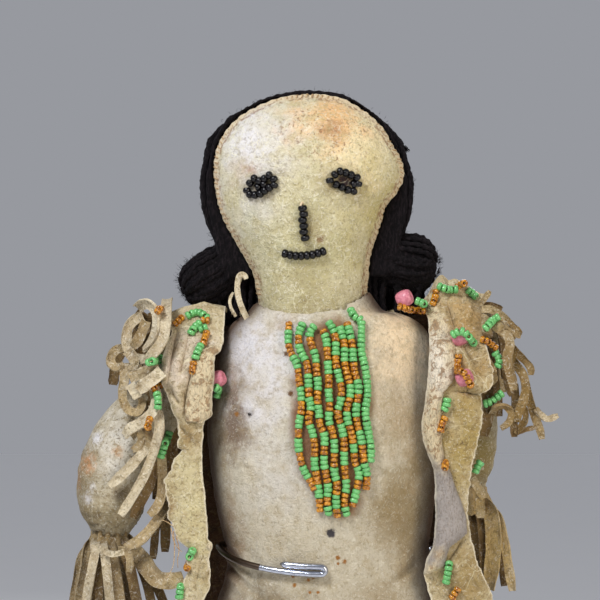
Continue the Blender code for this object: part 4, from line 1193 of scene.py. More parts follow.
def fuzz_hair(root, out, length, radius):
    bend = jolt(dice, 1)
    elbow = root + out * length * 0.45 + bend * length * 0.2
    run = [root, elbow, root + out * length * 0.5 + bend * length * 0.7]
    return sweep(smooth_run(run, 4), lambda share: ring(radius * (1 - 0.7 * share), 3))


def wool_tuft(middle, out, size):
    """A soft pulled lump of wool: many short curls round a place."""
    made = []
    for _ in range(TUFT_CURLS):
        jitter = scatter(dice, 0.4) * size - out * dice.random() * 1.4
        curl = scatter(dice, 1).normalized()
        start = middle + jitter
        turn = curl.cross(out).normalized()
        far = start + (curl + turn) * 0.5 * size
        run = [start, start + curl * 0.5 * size, far, start + turn * 0.6 * size]
        made.append(sweep(smooth_run(run, 5), lambda share: ring(0.1 * (1 - 0.5 * share), 3)))
    return made


for _ in range(FUZZ_HAIRS):
    run = dice.choice(yarn_runs)
    place = dice.choice(run)
    root, normal, _, _ = scalp.find_nearest(place + jolt(dice, 2))
    if normal.y < -0.85:
        continue
    gather(points, faces, fuzz_hair(root + normal * 0.3, normal, dice.uniform(0.7, 1.7), FUZZ_RADIUS))
for p in rim[::2]:
    if p.z > 266:
        out = (p - Vector((HEAD_MIDDLE, 0, 255))).normalized()
        for _ in range(5):
            root = Vector((p.x + dice.uniform(-0.5, 0.5), dice.uniform(2, 5), p.z)) + out * 0.8
            gather(points, faces, fuzz_hair(root, out, dice.uniform(0.6, 1.5), FUZZ_RADIUS))
for place, size in TUFTS:
    middle = Vector(place)
    for curl in wool_tuft(middle, (middle - Vector((HEAD_MIDDLE, 0, 250))).normalized(), size):
        gather(points, faces, curl)
new_piece("hair_fuzz", points, faces, [wool], [], "yarn")

# Arms
# Sleeves of hide stuffed like the body; the right one swells to a full lower arm.
# Both are gathered at the wrist, where the cuff is tied on.
SHOULDER_Z = 204.6
RIGHT_ARM = (
    ((-32.6, 3.0, 0.0), 5.6),
    ((-38.5, 2.6, 1.0), 7.0),
    ((-47.0, 0.5, 9.5), 8.6),
    ((-54.5, -2.0, 20.5), 10.2),
    ((-57.5, -3.0, 30.0), 10.2),
    ((-58.3, -3.0, 38.5), 8.4),
    ((-58.6, -3.0, 44.0), 4.6),
)
ARM_STEPS = 60
ARM_SIDES = 52
LEFT_ARM = (
    ((33.4, 5.0, 0.0), 5.6),
    ((37.0, 6.0, 2.0), 7.2),
    ((40.0, 8.0, 11.0), 8.8),
    ((40.4, 9.0, 20.0), 8.8),
    ((40.6, 9.0, 27.5), 7.2),
    ((41.2, 9.0, 32.5), 4.4),
)


def arm_run(corners, steps):
    path = [Vector((x, y, SHOULDER_Z - drop)) for (x, y, drop), _ in corners]
    radii = [Vector((radius, 0, 0)) for _, radius in corners]
    return smooth_run(path, steps), [r.x for r in smooth_run(radii, steps)]


def arm_relief(wrist_z):
    def height(p, normal):
        shift = 0.4 * lumps(p, 9, 51) + 0.2 * lumps(p, 3.6, 53)
        near_wrist = math.exp(-(((p.z - wrist_z) / 6) ** 2))
        shift += 0.55 * near_wrist * math.sin(p.x * 3.1 + p.y * 2.7 + 1.5 * lumps(p, 5, 55))
        shift += 0.35 * math.sin(p.z * 1.1 + 3 * lumps(p, 9, 57)) * abs(lumps(p, 10, 59))
        return shift

    return height


arm_hide = tanned_hide(
    "arm_hide",
    paint(196, 184, 158),
    paint(150, 130, 92),
    (
        ((-65, -4, 168), 13, paint(116, 100, 70), 0.85, (1.3, 1, 0.5)),
        ((-56, -12, 186), 12, paint(226, 220, 208), 0.8, (1, 1, 0.8)),
        ((-50, -12, 168), 10, paint(122, 106, 74), 0.7, (1, 1, 0.8)),
        ((-58, -12, 165), 9, paint(134, 118, 80), 0.6, (1, 1, 1)),
        ((-66, -6, 176), 5, paint(170, 112, 60), 0.5, (1, 1, 1)),
        ((-64.3, -9, 180.3), 3.4, paint(190, 126, 68), 0.75, (1, 0.12, 0.8)),
        ((-55.8, -12, 183.7), 2.2, paint(192, 128, 60), 0.7, (1, 0.12, 1)),
        # Painted highlights: three small blue-white glints
        ((-61.8, -11, 187.3), 2.2, paint(240, 238, 244), 0.7, (1, 0.12, 1)),
        ((-63.0, -10, 173.9), 1.9, paint(236, 232, 230), 0.6, (1, 0.12, 1)),
        ((-64.3, -10, 170.6), 2.2, paint(234, 230, 232), 0.6, (1, 0.12, 1)),
        ((-61.4, -10, 166.2), 1.7, paint(84, 66, 42), 0.8, (1, 0.12, 1)),
        ((-55.0, -12, 172.3), 2.6, paint(104, 84, 54), 0.7, (0.7, 0.12, 1)),
        ((43, -2, 182), 18, paint(128, 110, 54), 0.9, (1, 1, 0.8)),
    ),
    specks=1.0,
    nap=0.7,
)
for side, name, corners in ((-1, "right", RIGHT_ARM), (1, "left", LEFT_ARM)):
    path, radii = arm_run(corners, ARM_STEPS)
    points, faces = sweep(path, lambda share: ring(radii[round(share * ARM_STEPS)], ARM_SIDES))
    arm = new_piece(f"sleeve_{name}", points, faces, [arm_hide], [f"arm_{name}"], "doll_hide")
    push(arm, arm_relief(path[-1].z))

# Cuffs
# A band of hide drawn round each wrist in pleats, its lower part cut into hanging strips.
# The strips have dried curled; the right cuff is the fuller of the two.
CUFF_RADIUS = 7.0
CUFF_STRIPS = 12
CUFF_PLEAT = 0.09
CUFF_SIDES = 168
RIGHT_FRINGE_LENGTH = 30
LEFT_FRINGE_LENGTH = 19
# A hidden strip's course: shares of its length
HANG_SHARES = (0, 0.15, 0.3, 0.5, 0.75, 1.0)
# Section of the gathered band: share of the cuff's radius, and height about the wrist
CUFF_BAND = (
    (0.5, 1.0), (0.62, 1.3), (0.7, 0.6), (0.71, -0.6), (0.82, -2.2), (0.94, -4.0), (1.0, -6.0), (0.9, -6.4),
    (0.66, -4.0),
)
STRIP_WIDTH = 2.9
STRIP_THICKNESS = 0.8
CAMERA_PLACE = (-6.1, -700, 225.06)
CAMERA_PIXELS = 2520  # pixels of the 600 x 600 photo across a span as wide as its distance
PHOTO_MIDDLE = 300

FRINGE_STAINS = (
    ((-56, -4, 144), 17, paint(104, 84, 56), 0.78, (1, 1, 0.6)),
    ((-55, -8, 160), 6, paint(120, 100, 66), 0.7, (0.6, 1, 1)),
    ((-49, -12, 207), 10, paint(222, 210, 184), 0.6, (1, 1, 1)),
    ((48, 0, 155), 20, paint(206, 174, 108), 0.85, (1, 1, 0.6)),
    ((54, -8, 200), 24, paint(136, 106, 52), 0.9, (1, 1, 0.6)),
)
# The brown finish is partly darker hide, partly painted shade for strips that hang in shadow behind others
fringe_finishes = [
    tanned_hide("fringe_pale", paint(220, 206, 176), paint(140, 114, 76), FRINGE_STAINS, 0.9, 0.8),
    tanned_hide("fringe_tan", paint(186, 164, 124), paint(104, 80, 50), FRINGE_STAINS, 1.1, 0.7),
    tanned_hide("fringe_brown_and_shaded", paint(128, 102, 64), paint(74, 54, 32), FRINGE_STAINS[:1], 1.0, 0.5),
]
PALE, TAWNY, DARK_AND_SHADED = 0, 1, 2


def strip_section(width, thickness, seed, turn=0.5):
    """A flat cut strip: uneven in width, a little cupped, and twisted along its length."""

    def section(share):
        w = width / 2 * (1 + 0.16 * noise.noise(Vector((share * 5, seed, 0))))
        w *= 1 - 0.3 * max(0, share - 0.85) / 0.15
        h = w * 0.5
        t = thickness / 2
        cup = width * (0.13 + 0.26 * noise.noise(Vector((share * 3, seed, 7))))
        twist = turn * 2.2 * noise.noise(Vector((share * 2.2, seed, 13)))
        c, s = math.cos(twist), math.sin(twist)
        under = [(-w, -t), (-h, -t - cup), (h, -t - cup), (w, -t)]
        over = [(w, t), (h, t - cup), (-h, t - cup), (-w, t)]
        return [(u * c - v * s, u * s + v * c) for u, v in under + over]

    return section


def cut_strip(corners, width, thickness, seed, facing=Vector((0, -1, 0)), steps=None, turn=0.5):
    """A strip of hide along smooth corners, its flat side turned to face a way."""
    steps = steps or 7 * (len(corners) - 1)
    run = smooth_run(corners, steps)
    ahead = (run[1] - run[0]).normalized()
    across = ahead.cross(facing)
    return sweep(run, strip_section(width, thickness, seed, turn), across)


def seen(across, down, depth):
    """The place that a point of the 600 x 600 photo shows, at a depth along y."""
    x, y, z = CAMERA_PLACE
    reach = (depth - y) / CAMERA_PIXELS
    return Vector((x + (across - PHOTO_MIDDLE) * reach, depth, z - (down - PHOTO_MIDDLE) * reach))


def add_strip(points, faces, kinds, kind, strip):
    """Add a strip to a piece, and say which finish it has."""
    gather(points, faces, strip)
    kinds += [kind] * len(strip[1])


def lay_strips(strips, seed, points, faces, kinds):
    """Add strips to a piece: finish, width and twist of each, and its course as seen in the photo."""
    for k, (kind, width, turn, course) in enumerate(strips):
        corners = [seen(*place) for place in course]
        strip = cut_strip(corners, width, STRIP_THICKNESS, k * 1.7 + seed, turn=turn)
        add_strip(points, faces, kinds, kind, strip)


# Strips of the cuffs that show from the front: finish, width, twist, and the course in the photo
# (across and down in pixels, depth in mm)
RIGHT_CUFF_STRIPS = (
    (PALE, 2.5, 0.3, ((97, 538, -3), (95, 545, -10), (95, 553, -12.5), (93, 563, -14), (90, 579, -14),
        (87, 596, -13), (84, 625, -12), (83, 652, -11))),
    (PALE, 2.6, 0.3, ((103, 538, -4), (103.5, 547, -11.5), (106, 564, -14), (108, 583, -15),
        (110, 602, -14), (112, 628, -13), (113, 655, -12))),
    (TAWNY, 2.3, 0.3, ((95, 538, -1), (86.5, 549, -7), (83.5, 572, -10), (79, 598, -10), (76, 622, -9),
        (75, 648, -8))),
    (TAWNY, 2.9, 0.2, ((109, 540, -4), (112.5, 552, -11.5), (117, 580, -13), (120, 600, -13),
        (122, 626, -12), (123, 656, -11))),
    (DARK_AND_SHADED, 2.2, 0.3, ((100, 544, -4), (98.5, 560, -11), (99, 590, -12), (100, 620, -11), (101, 646, -10))),
    (DARK_AND_SHADED, 2.8, 0.3, ((117, 540, -4), (125.5, 553, -10.5), (131, 572, -12), (135, 592, -12),
        (138, 612, -11), (139, 650, -10))),
    (TAWNY, 2.1, 0.2, ((118, 550, -14.5), (124, 551, -15.5), (128.5, 554, -16), (130, 562, -16),
        (129.5, 572, -15))),
    (PALE, 1.6, 0.1, ((104, 551, -14.8), (112, 554, -15.8), (120, 553, -15.8), (126, 551, -15))),
    (DARK_AND_SHADED, 2.7, 0.3, ((118, 540, -1), (133, 553, -6), (143, 572, -7), (149, 592, -7), (153, 616, -6),
        (155, 648, -5))),
    (DARK_AND_SHADED, 2.5, 0.3, ((118, 540, 0), (138, 556, -2), (152, 578, -3), (161, 596, -2), (167, 614, -2),
        (170, 640, -1))),
    (TAWNY, 2.3, 0.4, ((96, 540, 0), (82, 556, -3), (77, 580, -5), (73, 604, -5), (71, 634, -4))),
)
LEFT_CUFF_STRIPS = (
    (PALE, 4.3, 0.05, ((478, 500, 8), (490, 512, 1), (493, 530, 0), (493.5, 548, -0.5), (491.5, 570, -0.5),
        (489, 590, 0))),
    (PALE, 2.5, 0.15, ((478, 502, 9), (497, 516, 3), (504, 540, 1), (508.5, 566, 1), (512.5, 591, 1.5))),
    (DARK_AND_SHADED, 2.2, 0.2, ((478, 503, 9), (495, 530, 5), (502, 565, 5), (504, 586, 5))),
    (DARK_AND_SHADED, 2.4, 0.3, ((476, 503, 8), (481, 525, 2), (484, 556, 1), (485, 582, 1.5))),
    (DARK_AND_SHADED, 2.6, 0.3, ((476, 503, 8), (473, 525, 4), (475, 556, 3), (478, 580, 3))),
    (PALE, 2.3, 0.1, ((472, 478, -3), (477, 486, -3), (481.5, 493, -2.5), (484.5, 498, -1.5))),
    (PALE, 2.5, 0.0, ((479.5, 496, -1.5), (480.5, 506, -2), (480.5, 518, -2))),
)
for name, corners, strips, fringe_length, seed in (
    ("right", RIGHT_ARM, RIGHT_CUFF_STRIPS, RIGHT_FRINGE_LENGTH, 5),
    ("left", LEFT_ARM, LEFT_CUFF_STRIPS, LEFT_FRINGE_LENGTH, 6),
):
    dice = random.Random(seed)
    wrist = arm_run(corners, ARM_STEPS)[0][-1]
    top = wrist.z - 0.3
    rings = []
    for share, z in CUFF_BAND:
        one = []
        for k in range(CUFF_SIDES):
            a = math.tau * k / CUFF_SIDES
            pleat = 1 + CUFF_PLEAT * math.cos(a * CUFF_STRIPS + 0.9 * math.sin(a * 2 + seed))
            r = CUFF_RADIUS * share * pleat
            lift = 0.5 * math.sin(a * 5 + seed)
            one.append(Vector((wrist.x + r * math.cos(a), wrist.y + r * math.sin(a), top + z + lift)))
        rings.append(one)
    points, faces = skin_of(rings)
    kinds = [TAWNY] * len(faces)
    lay_strips(strips, seed, points, faces, kinds)
    for k in range(CUFF_STRIPS):
        a = math.pi * (k + dice.uniform(0.3, 0.7)) / CUFF_STRIPS
        out = Vector((math.cos(a), math.sin(a), 0))
        along = Vector((-math.sin(a), math.cos(a), 0))
        start = wrist + out * CUFF_RADIUS * 0.8 - Vector((0, 0, 3))
        length = fringe_length * dice.uniform(0.85, 1.0)
        spread = out * dice.uniform(1.5, 3.6)
        run = []
        for t in HANG_SHARES:
            sway = along * dice.uniform(-1.0, 1.0) * t + out * dice.uniform(-0.6, 0.8) * t
            run.append(start + spread * t**1.2 + sway - Vector((0, 0, length * t)))
        width = STRIP_WIDTH * dice.uniform(0.75, 1.0)
        strip = cut_strip(run, width, STRIP_THICKNESS, k + seed * 20, out, 40)
        add_strip(points, faces, kinds, dice.choice((TAWNY, DARK_AND_SHADED)), strip)
    stands_for = [f"cuff_fringe_{name}"]
    crisp(new_piece(f"cuff_{name}", points, faces, fringe_finishes, stands_for, "coat_hide", kinds))

# Chest beads
# Eight strings of seed beads hang side by side from the neck, sewn down at their ends.
# Runs of amber are broken by threes of green; the eighth string, at the doll's left, is all green.
GREEN_RADIUS = 1.18
AMBER_RADIUS = 1.06
BEAD_PITCH = 1.27
THREAD_RADIUS = 0.14
GREEN_REACH = 1.44  # a three of green reaches this many pitches each way from its middle
STRING_STEPS = 90
# For each string: its course as (x, drop below the neck), and the middles of its threes of green
CHEST_STRINGS = (
    (
        ((-9.1, 3.5), (-9.3, 9.1), (-8.3, 12.4), (-6.9, 15.1), (-6.4, 19.1), (-5.8, 23.2), (-5.8, 27.7),
         (-6.4, 31.0), (-6.5, 36.9), (-5.8, 41.2), (-4.8, 43.9), (-3.5, 46.1), (-2.1, 48.8)),
        (7.8, 14.9, 22.6, 29.9, 36.8, 43.9),
    ),
    (
        ((-5.3, 3.7), (-6.4, 6.7), (-6.4, 9.7), (-5.8, 11.8), (-4.2, 15.1), (-3.8, 20.2), (-3.7, 24.0),
         (-3.1, 26.4), (-3.8, 29.9), (-2.6, 33.7), (-2.1, 37.5), (-2.2, 41.8), (-1.5, 45.6), (-1.1, 48.8),
         (-0.7, 54.5)),
        (5.1, 11.7, 18.9, 26.2, 33.5, 41.9, 48.8),
    ),
    (
        ((-2.1, 4.3), (-3.5, 6.7), (-3.1, 9.4), (-1.9, 12.9), (-1.6, 17.0), (-1.2, 20.5), (-1.4, 24.0),
         (-1.0, 27.7), (-0.7, 31.0), (0.5, 34.2), (0.4, 38.0), (0.4, 41.5), (0.9, 44.5), (1.5, 48.2),
         (1.2, 51.5), (1.6, 55.0)),
        (5.6, 12.6, 20.4, 27.8, 34.5, 41.5, 48.2, 54.7),
    ),
    (
        ((0.1, 5.6), (1.0, 8.3), (1.3, 11.6), (1.5, 15.6), (1.7, 19.1), (1.6, 22.6), (1.9, 25.9),
         (1.7, 29.9),
         (2.8, 33.7), (3.2, 36.9), (3.1, 40.7), (3.2, 44.2), (3.9, 47.4), (3.6, 51.5), (4.0, 56.6)),
        (8.7, 15.7, 22.8, 29.9, 36.6, 44.2, 51.7),
    ),
    (
        ((1.5, 3.3), (2.8, 5.4), (3.5, 7.8), (3.6, 11.3), (3.6, 14.8), (4.4, 18.2), (5.1, 21.8),
         (4.8, 25.1),
         (4.0, 28.0), (5.2, 32.2), (5.8, 35.8), (5.8, 39.6), (6.0, 43.7), (6.4, 47.7), (5.9, 51.5),
         (6.3, 54.7), (7.0, 56.3)),
        (4.3, 11.2, 18.3, 25.2, 32.2, 39.8, 47.7, 54.7),
    ),
    (
        ((4.6, 4.6), (5.4, 7.2), (6.0, 10.5), (6.0, 14.3), (6.6, 17.5), (7.5, 20.7), (7.4, 23.7),
         (6.6, 26.7),
         (6.7, 29.8), (7.8, 33.7), (8.4, 37.5), (8.7, 41.2), (9.8, 44.2), (9.5, 47.2), (8.7, 50.9),
         (8.0, 53.6)),
        (5.8, 12.9, 22.1, 29.8, 37.6, 44.3, 51.0),
    ),
    (
        ((6.6, 3.5), (7.4, 6.4), (8.1, 9.7), (8.3, 13.2), (8.7, 17.0), (9.7, 20.7), (9.5, 24.0),
         (9.0, 27.5),
         (9.4, 31.0), (10.4, 35.0), (10.9, 38.8), (11.3, 41.8), (12.0, 44.5), (11.8, 48.5)),
        (6.4, 13.0, 20.7, 27.5, 35.1, 43.0),
    ),
    (
        ((7.5, -0.2), (8.7, 2.0), (10.5, 3.2), (10.6, 7.0), (10.6, 11.6), (11.4, 15.1), (12.0, 19.1),
         (12.2, 23.4), (11.6, 26.9), (11.8, 29.9), (12.6, 34.2), (13.1, 37.5), (13.0, 41.0)),
        (),
    ),
)

green_glass = glass("green_glass", paint(116, 192, 114), paint(72, 152, 84), 0.24)
# Amber with painted glints: its strong fine mottle stands for bright glints and dark spots
amber_glass = glass("amber_glass", paint(214, 146, 34), paint(128, 66, 14), 0.1, 0.9, 0.9, 0.45)
thread, tree, shader = new_finish("bead_thread", 0.8)
plies = blotches(tree, 0.4, 2)
two_tone(tree, shader, paint(214, 196, 158), paint(150, 124, 84), plies)
relief(tree, shader, plies, 0.05)


def thread_beads(name, run, is_green, stands_for, slot, dice):
    """Beads in a row along a run, on their thread; is_green(middle) tells which glass is next."""
    points, faces = sweep(run, lambda share: ring(THREAD_RADIUS, 5))
    kinds = [2] * len(faces)
    for middle, ahead in walk(run, BEAD_PITCH, BEAD_PITCH / 2):
        green = is_green(middle)
        radius = (GREEN_RADIUS if green else AMBER_RADIUS) * dice.uniform(0.92, 1.06)
        ahead = ahead + jolt(dice, 0.12)
        length = BEAD_PITCH * (0.98 if green else 0.92)
        made = bead(middle, ahead, radius, length, roundness=0.95)
        gather(points, faces, made)
        kinds += [0 if green else 1] * len(made[1])
    new_piece(name, points, faces, [green_glass, amber_glass, thread], stands_for, slot, kinds)


dice = random.Random(8)
for number, (course, greens) in enumerate(CHEST_STRINGS, 1):
    run = []
    for p in smooth_run([(x, 0, TORSO_TOP - drop) for x, drop in course], STRING_STEPS):
        stack = 0.25 * math.sin(p.z * 0.9 + number * 2.1)
        run.append(Vector((p.x, torso_front(p.x, p.z) - 1.15 - max(0, stack), p.z)))

    def is_green(middle):
        drop = TORSO_TOP - middle.z
        return not greens or any(abs(drop - g) < BEAD_PITCH * GREEN_REACH for g in greens)

    slot = "amber_beads" if greens else "green_beads"
    thread_beads(f"chest_string_{number}", run, is_green, [f"chest_strand_{number}"], slot, dice)

# Coat
# One skin with a neck cut, folded over the shoulders, with no sleeves and no fastening.
# It is stiff with age: the fronts have shrunk to strips, pleated at the shoulder, their edges curled.
HIDE_THICKNESS = 1.1
COAT_LENGTH = 123
COAT_RIDGE = 221.4
COAT_LEFT_RISE = 2.5
COAT_NECK_HALF = 22
COAT_FRONT_Y = -14
COAT_BACK_Y = 27.5
COAT_BACK_HALF = 45
COAT_NAPE_BULGE = 9
# Cut edges of the fronts, from the hem up: height, and how far from the doll's middle
RIGHT_INNER = (
    (98.4, 31.0), (120.0, 31.5), (142.0, 33.0), (147.5, 30.5), (154.5, 30.8), (158.3, 30.3), (159.9, 31.1),
    (165.5, 31.4), (171.7, 31.9), (178.6, 32.7), (185.4, 32.8), (192.4, 32.5), (193.8, 30.4), (198.7, 30.5),
    (203.5, 30.0), (210.0, 29.7), (211.4, 27.9), (213.6, 27.1), (221.4, 26.9),
)
RIGHT_OUTER = (
    (98.4, 43.0), (115.0, 42.5), (130.0, 41.0), (144.0, 39.4), (147.4, 38.0), (151.0, 36.2), (153.7, 36.6),
    (156.5, 34.6), (157.9, 36.0), (159.3, 38.7), (162.4, 40.1), (164.8, 41.1), (165.9, 42.0), (169.7, 41.8),
    (173.1, 42.5), (175.9, 42.9), (177.3, 41.8), (181.8, 40.1), (184.4, 37.6), (185.1, 39.8), (187.9, 38.6),
    (188.7, 39.4), (192.2, 39.1), (195.2, 40.8), (199.3, 42.2), (202.0, 43.3), (206.3, 43.4), (213.1, 42.5),
    (216.1, 41.2), (221.4, 42.5),
)
LEFT_INNER = (
    (101.0, 29.0), (125.0, 29.0), (143.9, 29.5), (149.8, 27.7), (154.4, 28.8), (156.2, 29.7),
    (157.9, 30.5), (160.4, 30.8), (167.2, 31.2),
    (174.5, 31.0), (179.2, 30.7), (186.1, 28.2), (189.0, 27.6), (191.5, 27.4), (195.1, 28.2), (200.5, 28.8),
    (206.0, 29.3), (213.2, 29.6), (218.3, 29.5), (222.6, 28.5), (223.9, 28.2),
)
LEFT_OUTER = (
    (101.0, 47.0), (115.0, 46.0), (130.0, 46.5), (143.9, 46.5), (147.3, 45.0), (154.5, 41.8), (160.6, 40.4),
    (167.2, 39.4), (172.6, 39.6), (178.5, 40.4), (183.5, 41.4), (188.9, 42.9), (193.3, 43.4), (199.6, 43.3),
    (201.0, 45.6), (203.0, 46.4), (206.5, 46.2), (211.0, 44.8), (216.0, 44.2), (219.5, 45.2), (223.9, 45.6),
)
# The skin has bunched up on the shoulders: place across, and how far its top stands above the ridge
LEFT_BUNCH = (
    (28.0, 0.3), (30.0, 2.6), (31.8, 6.4), (33.2, 7.8), (35.0, 6.0), (37.0, 6.6), (39.5, 5.2), (42.0, 3.4),
    (44.0, 2.4),
)
RIGHT_BUNCH = (
    (26.9, 1.4), (28.6, 1.8), (30.5, 2.0), (32.8, 2.7), (35.0, 2.0), (38.3, 1.3), (41.0, 0.2), (42.5, -0.6),
)
BUNCH_REACH = 0.075  # share of the coat's length that the bunch reaches down
# Where the inner edge is turned over on itself: the turned part's free edge
RIGHT_TURN = (
    (191.5, 31.0), (192.4, 36.8), (195.9, 37.0), (200.7, 36.0), (204.7, 35.1), (209.0, 34.1), (211.6, 32.2),
    (212.2, 27.5),
)
LEFT_TURN = (
    (150.0, 27.0), (153.1, 32.7), (158.2, 34.2), (161.8, 39.0), (166.0, 38.6), (170.5, 37.1), (178.5, 34.2),
    (180.4, 32.9), (186.0, 32.1), (191.5, 31.7), (197.7, 32.2), (200.2, 32.7), (203.1, 34.8), (207.8, 35.9),
    (213.2, 35.6), (219.1, 33.8), (223.9, 31.2),
)
SHOULDER_TURN = 0.13  # share of the drop in which the skin turns over the shoulder to hang
HEM_FROM = 0.97
EDGE_BAND = 0.8  # breadth of the pale cut edge
BACK_SPACING = 1.25  # above 1, the back's rows lie closer at the top
TURN_LIFT = 1.3
LEFT_ROLL = 1.5  # the left front's turned edge has dried as a round roll
# Drop share, then shares of how far the back stands out and of its half width
COAT_BACK = (
    (0.0, 0.0, 0.93),
    (0.015, 0.36, 0.95),
    (0.06, 0.66, 1.0),
    (0.15, 0.80, 1.0),
    (0.28, 0.87, 0.98),
    (0.37, 0.91, 0.93),
    (0.46, 0.94, 0.86),
    (0.70, 1.0, 0.86),
    (1.0, 1.0, 0.91),
)
# Pleats of the fronts: two ends (x, z), height and half width; a negative height is a crease
COAT_PLEATS = (
    ((-42.4, 214.5), (-42.2, 203.0), 1.5, 1.0),
    ((-39.9, 216.5), (-42.0, 202.8), -1.9, 0.5),
    ((-38.4, 217.5), (-40.0, 201.0), 1.6, 1.3),
    ((-36.3, 216.6), (-38.6, 205.5), -2.0, 0.5),
    ((-34.4, 214.5), (-37.2, 203.0), 1.6, 1.1),
    ((-34.9, 211.5), (-37.4, 193.5), -1.9, 0.55),
    ((-39.5, 201.0), (-38.6, 194.0), 1.2, 1.2),
    ((-40.9, 200.5), (-38.9, 196.6), -1.7, 0.6),
    ((-37.6, 200.0), (-37.0, 194.5), -1.3, 0.5),
    ((-38.5, 190.5), (-36.5, 187.5), -1.2, 0.7),
    ((-36.0, 188.8), (-35.6, 185.5), -1.0, 0.6),
    ((-34.0, 181.5), (-33.6, 177.5), -0.9, 0.5),
    ((-33.0, 154.5), (-34.5, 147.0), -1.0, 0.6),
    ((-32.0, 150.5), (-35.0, 151.0), 0.9, 0.6),
    ((38.5, 221.8), (41.5, 220.8), 2.8, 2.9),
    ((34.6, 224.5), (36.6, 215.5), -2.2, 0.7),
    ((36.5, 226.3), (43.0, 225.2), -2.2, 0.7),
    ((31.0, 224.0), (34.5, 227.0), -1.8, 0.7),
    ((32.2, 226.0), (33.6, 230.5), 1.6, 0.9),
    ((36.0, 228.3), (41.0, 227.6), 1.4, 0.9),
    ((33.0, 222.0), (34.4, 216.5), 1.5, 1.1),
    ((36.9, 216.0), (42.4, 213.2), -1.9, 0.6),
    ((37.2, 214.0), (41.4, 207.4), -1.6, 0.6),
    ((37.8, 211.5), (41.0, 203.0), 1.4, 1.2),
    ((38.6, 206.5), (39.6, 200.6), -1.6, 0.6),
    ((40.5, 201.4), (43.2, 200.0), 1.0, 0.6),
    ((35.4, 200.4), (42.4, 199.2), -1.5, 0.5),
    ((36.0, 191.0), (41.5, 189.5), -0.7, 0.6),
    ((35.5, 184.5), (40.0, 186.0), -0.7, 0.6),
    ((38.0, 160.0), (33.5, 152.5), -1.2, 0.6),
    ((41.0, 150.0), (44.5, 145.5), 1.1, 1.0),
)
ALONG_FRONT = 230
ACROSS_FRONT = 40
ALONG_BACK = 62
ACROSS_NECK = 30


def ridge_at(side):
    """Height of the fold over a shoulder; the left one stands higher."""
    return COAT_RIDGE + (COAT_LEFT_RISE if side > 0 else 0)


def coat_width(side, drop):
    """Inner and outer edge of a front, with the small notches of its cut."""
    z = ridge_at(side) - drop * COAT_LENGTH
    inner = between_marks(RIGHT_INNER if side < 0 else LEFT_INNER, z)
    outer = between_marks(RIGHT_OUTER if side < 0 else LEFT_OUTER, z)
    ragged = min(1, drop / 0.05)
    inner += ragged * 0.22 * noise.noise(Vector((z / 1.4, side * 5, 2)))
    outer += ragged * 0.55 * noise.noise(Vector((z / 1.3, side * 3, 4)))
    return inner, outer


def hem_wave(x, seed, drop):
    """The lower edge is cut unevenly."""
    return 1.3 * noise.noise(Vector((x / 3, seed, 5))) * max(0, drop - HEM_FROM) / (1 - HEM_FROM)


def front_place(side, share, drop):
    """A point of a front, and how far it is turned over: share 0 is the inner edge, 1 the outer."""
    inner, outer = coat_width(side, drop)
    x = inner + share * (outer - inner)
    z = ridge_at(side) - drop * COAT_LENGTH
    bunch = between_marks(LEFT_BUNCH if side > 0 else RIGHT_BUNCH, x)
    z += bunch * max(0, 1 - drop / BUNCH_REACH) ** 1.3
    settle = min(1, drop / SHOULDER_TURN)
    y = COAT_FRONT_Y * math.sin(settle * math.pi / 2)
    y += settle * (1.6 * max(0, share - 0.55) ** 1.5 - 0.5 * math.sin(math.pi * share))
    turned = between_marks(RIGHT_TURN if side < 0 else LEFT_TURN, z)
    over = 0
    if turned > inner + 0.6:
        over = min(max((turned - x) / 0.4 + 0.5, 0), 1)
        across = min(max((x - inner) / (turned - inner), 0), 1)
        y -= over * (TURN_LIFT + (LEFT_ROLL if side > 0 else 0.5) * math.sin(math.pi * across)) * settle
        y += 0.9 * max(0, 1 - (x - inner) / 0.9) ** 2 * settle
    z += hem_wave(x, side, drop)
    p = Vector((side * x, y, z))
    lift = 0
    for start, end, height, width in COAT_PLEATS:
        distance, t = from_line(p.x, p.z, start, end)
        if distance < 3 * width:
            lift += height * math.exp(-((distance / width) ** 2)) * math.sin(math.pi * (0.15 + 0.7 * t))
    lift *= 1 - 0.8 * over
    firm = max(settle, 0.75 if side > 0 and drop > 0.004 else 0)
    p.y -= lift * firm
    p.y -= (0.5 * lumps(p, 7, 61) + 0.4 * lumps(p, 2.6, 63) + 0.15 * lumps(p, 1.2, 64)) * firm
    p.x += 0.2 * lumps(p, 4, 65) * settle
    return p, over


def back_place(x, drop):
    share, _ = row_at(COAT_BACK, drop)
    y = COAT_BACK_Y * share - 3 * (x / COAT_BACK_HALF) ** 2
    nape = max(0, 1 - (x / COAT_NECK_HALF) ** 2) * max(0, 1 - drop / 0.2)
    y += COAT_NAPE_BULGE * nape
    lean = COAT_LEFT_RISE * max(0, x / COAT_BACK_HALF) * max(0, 1 - drop * 4)
    z = COAT_RIDGE + lean - drop * COAT_LENGTH
    z += hem_wave(x, 2, drop)
    p = Vector((x, y, z))
    settle = min(1, drop / 0.1)
    p.y += (0.9 * math.sin(x / 5.5 + 2 * lumps(p, 30, 67)) * drop + 0.5 * lumps(p, 8, 69)) * settle
    return p


points, edges, turns, faces, index = [], [], [], [], {}


def put(key, p, edge, over=0.0):
    index[key] = len(points)
    points.append(p)
    edges.append(edge)
    turns.append(over)


def near_edge(distance):
    return max(0.0, 1 - distance / EDGE_BAND)


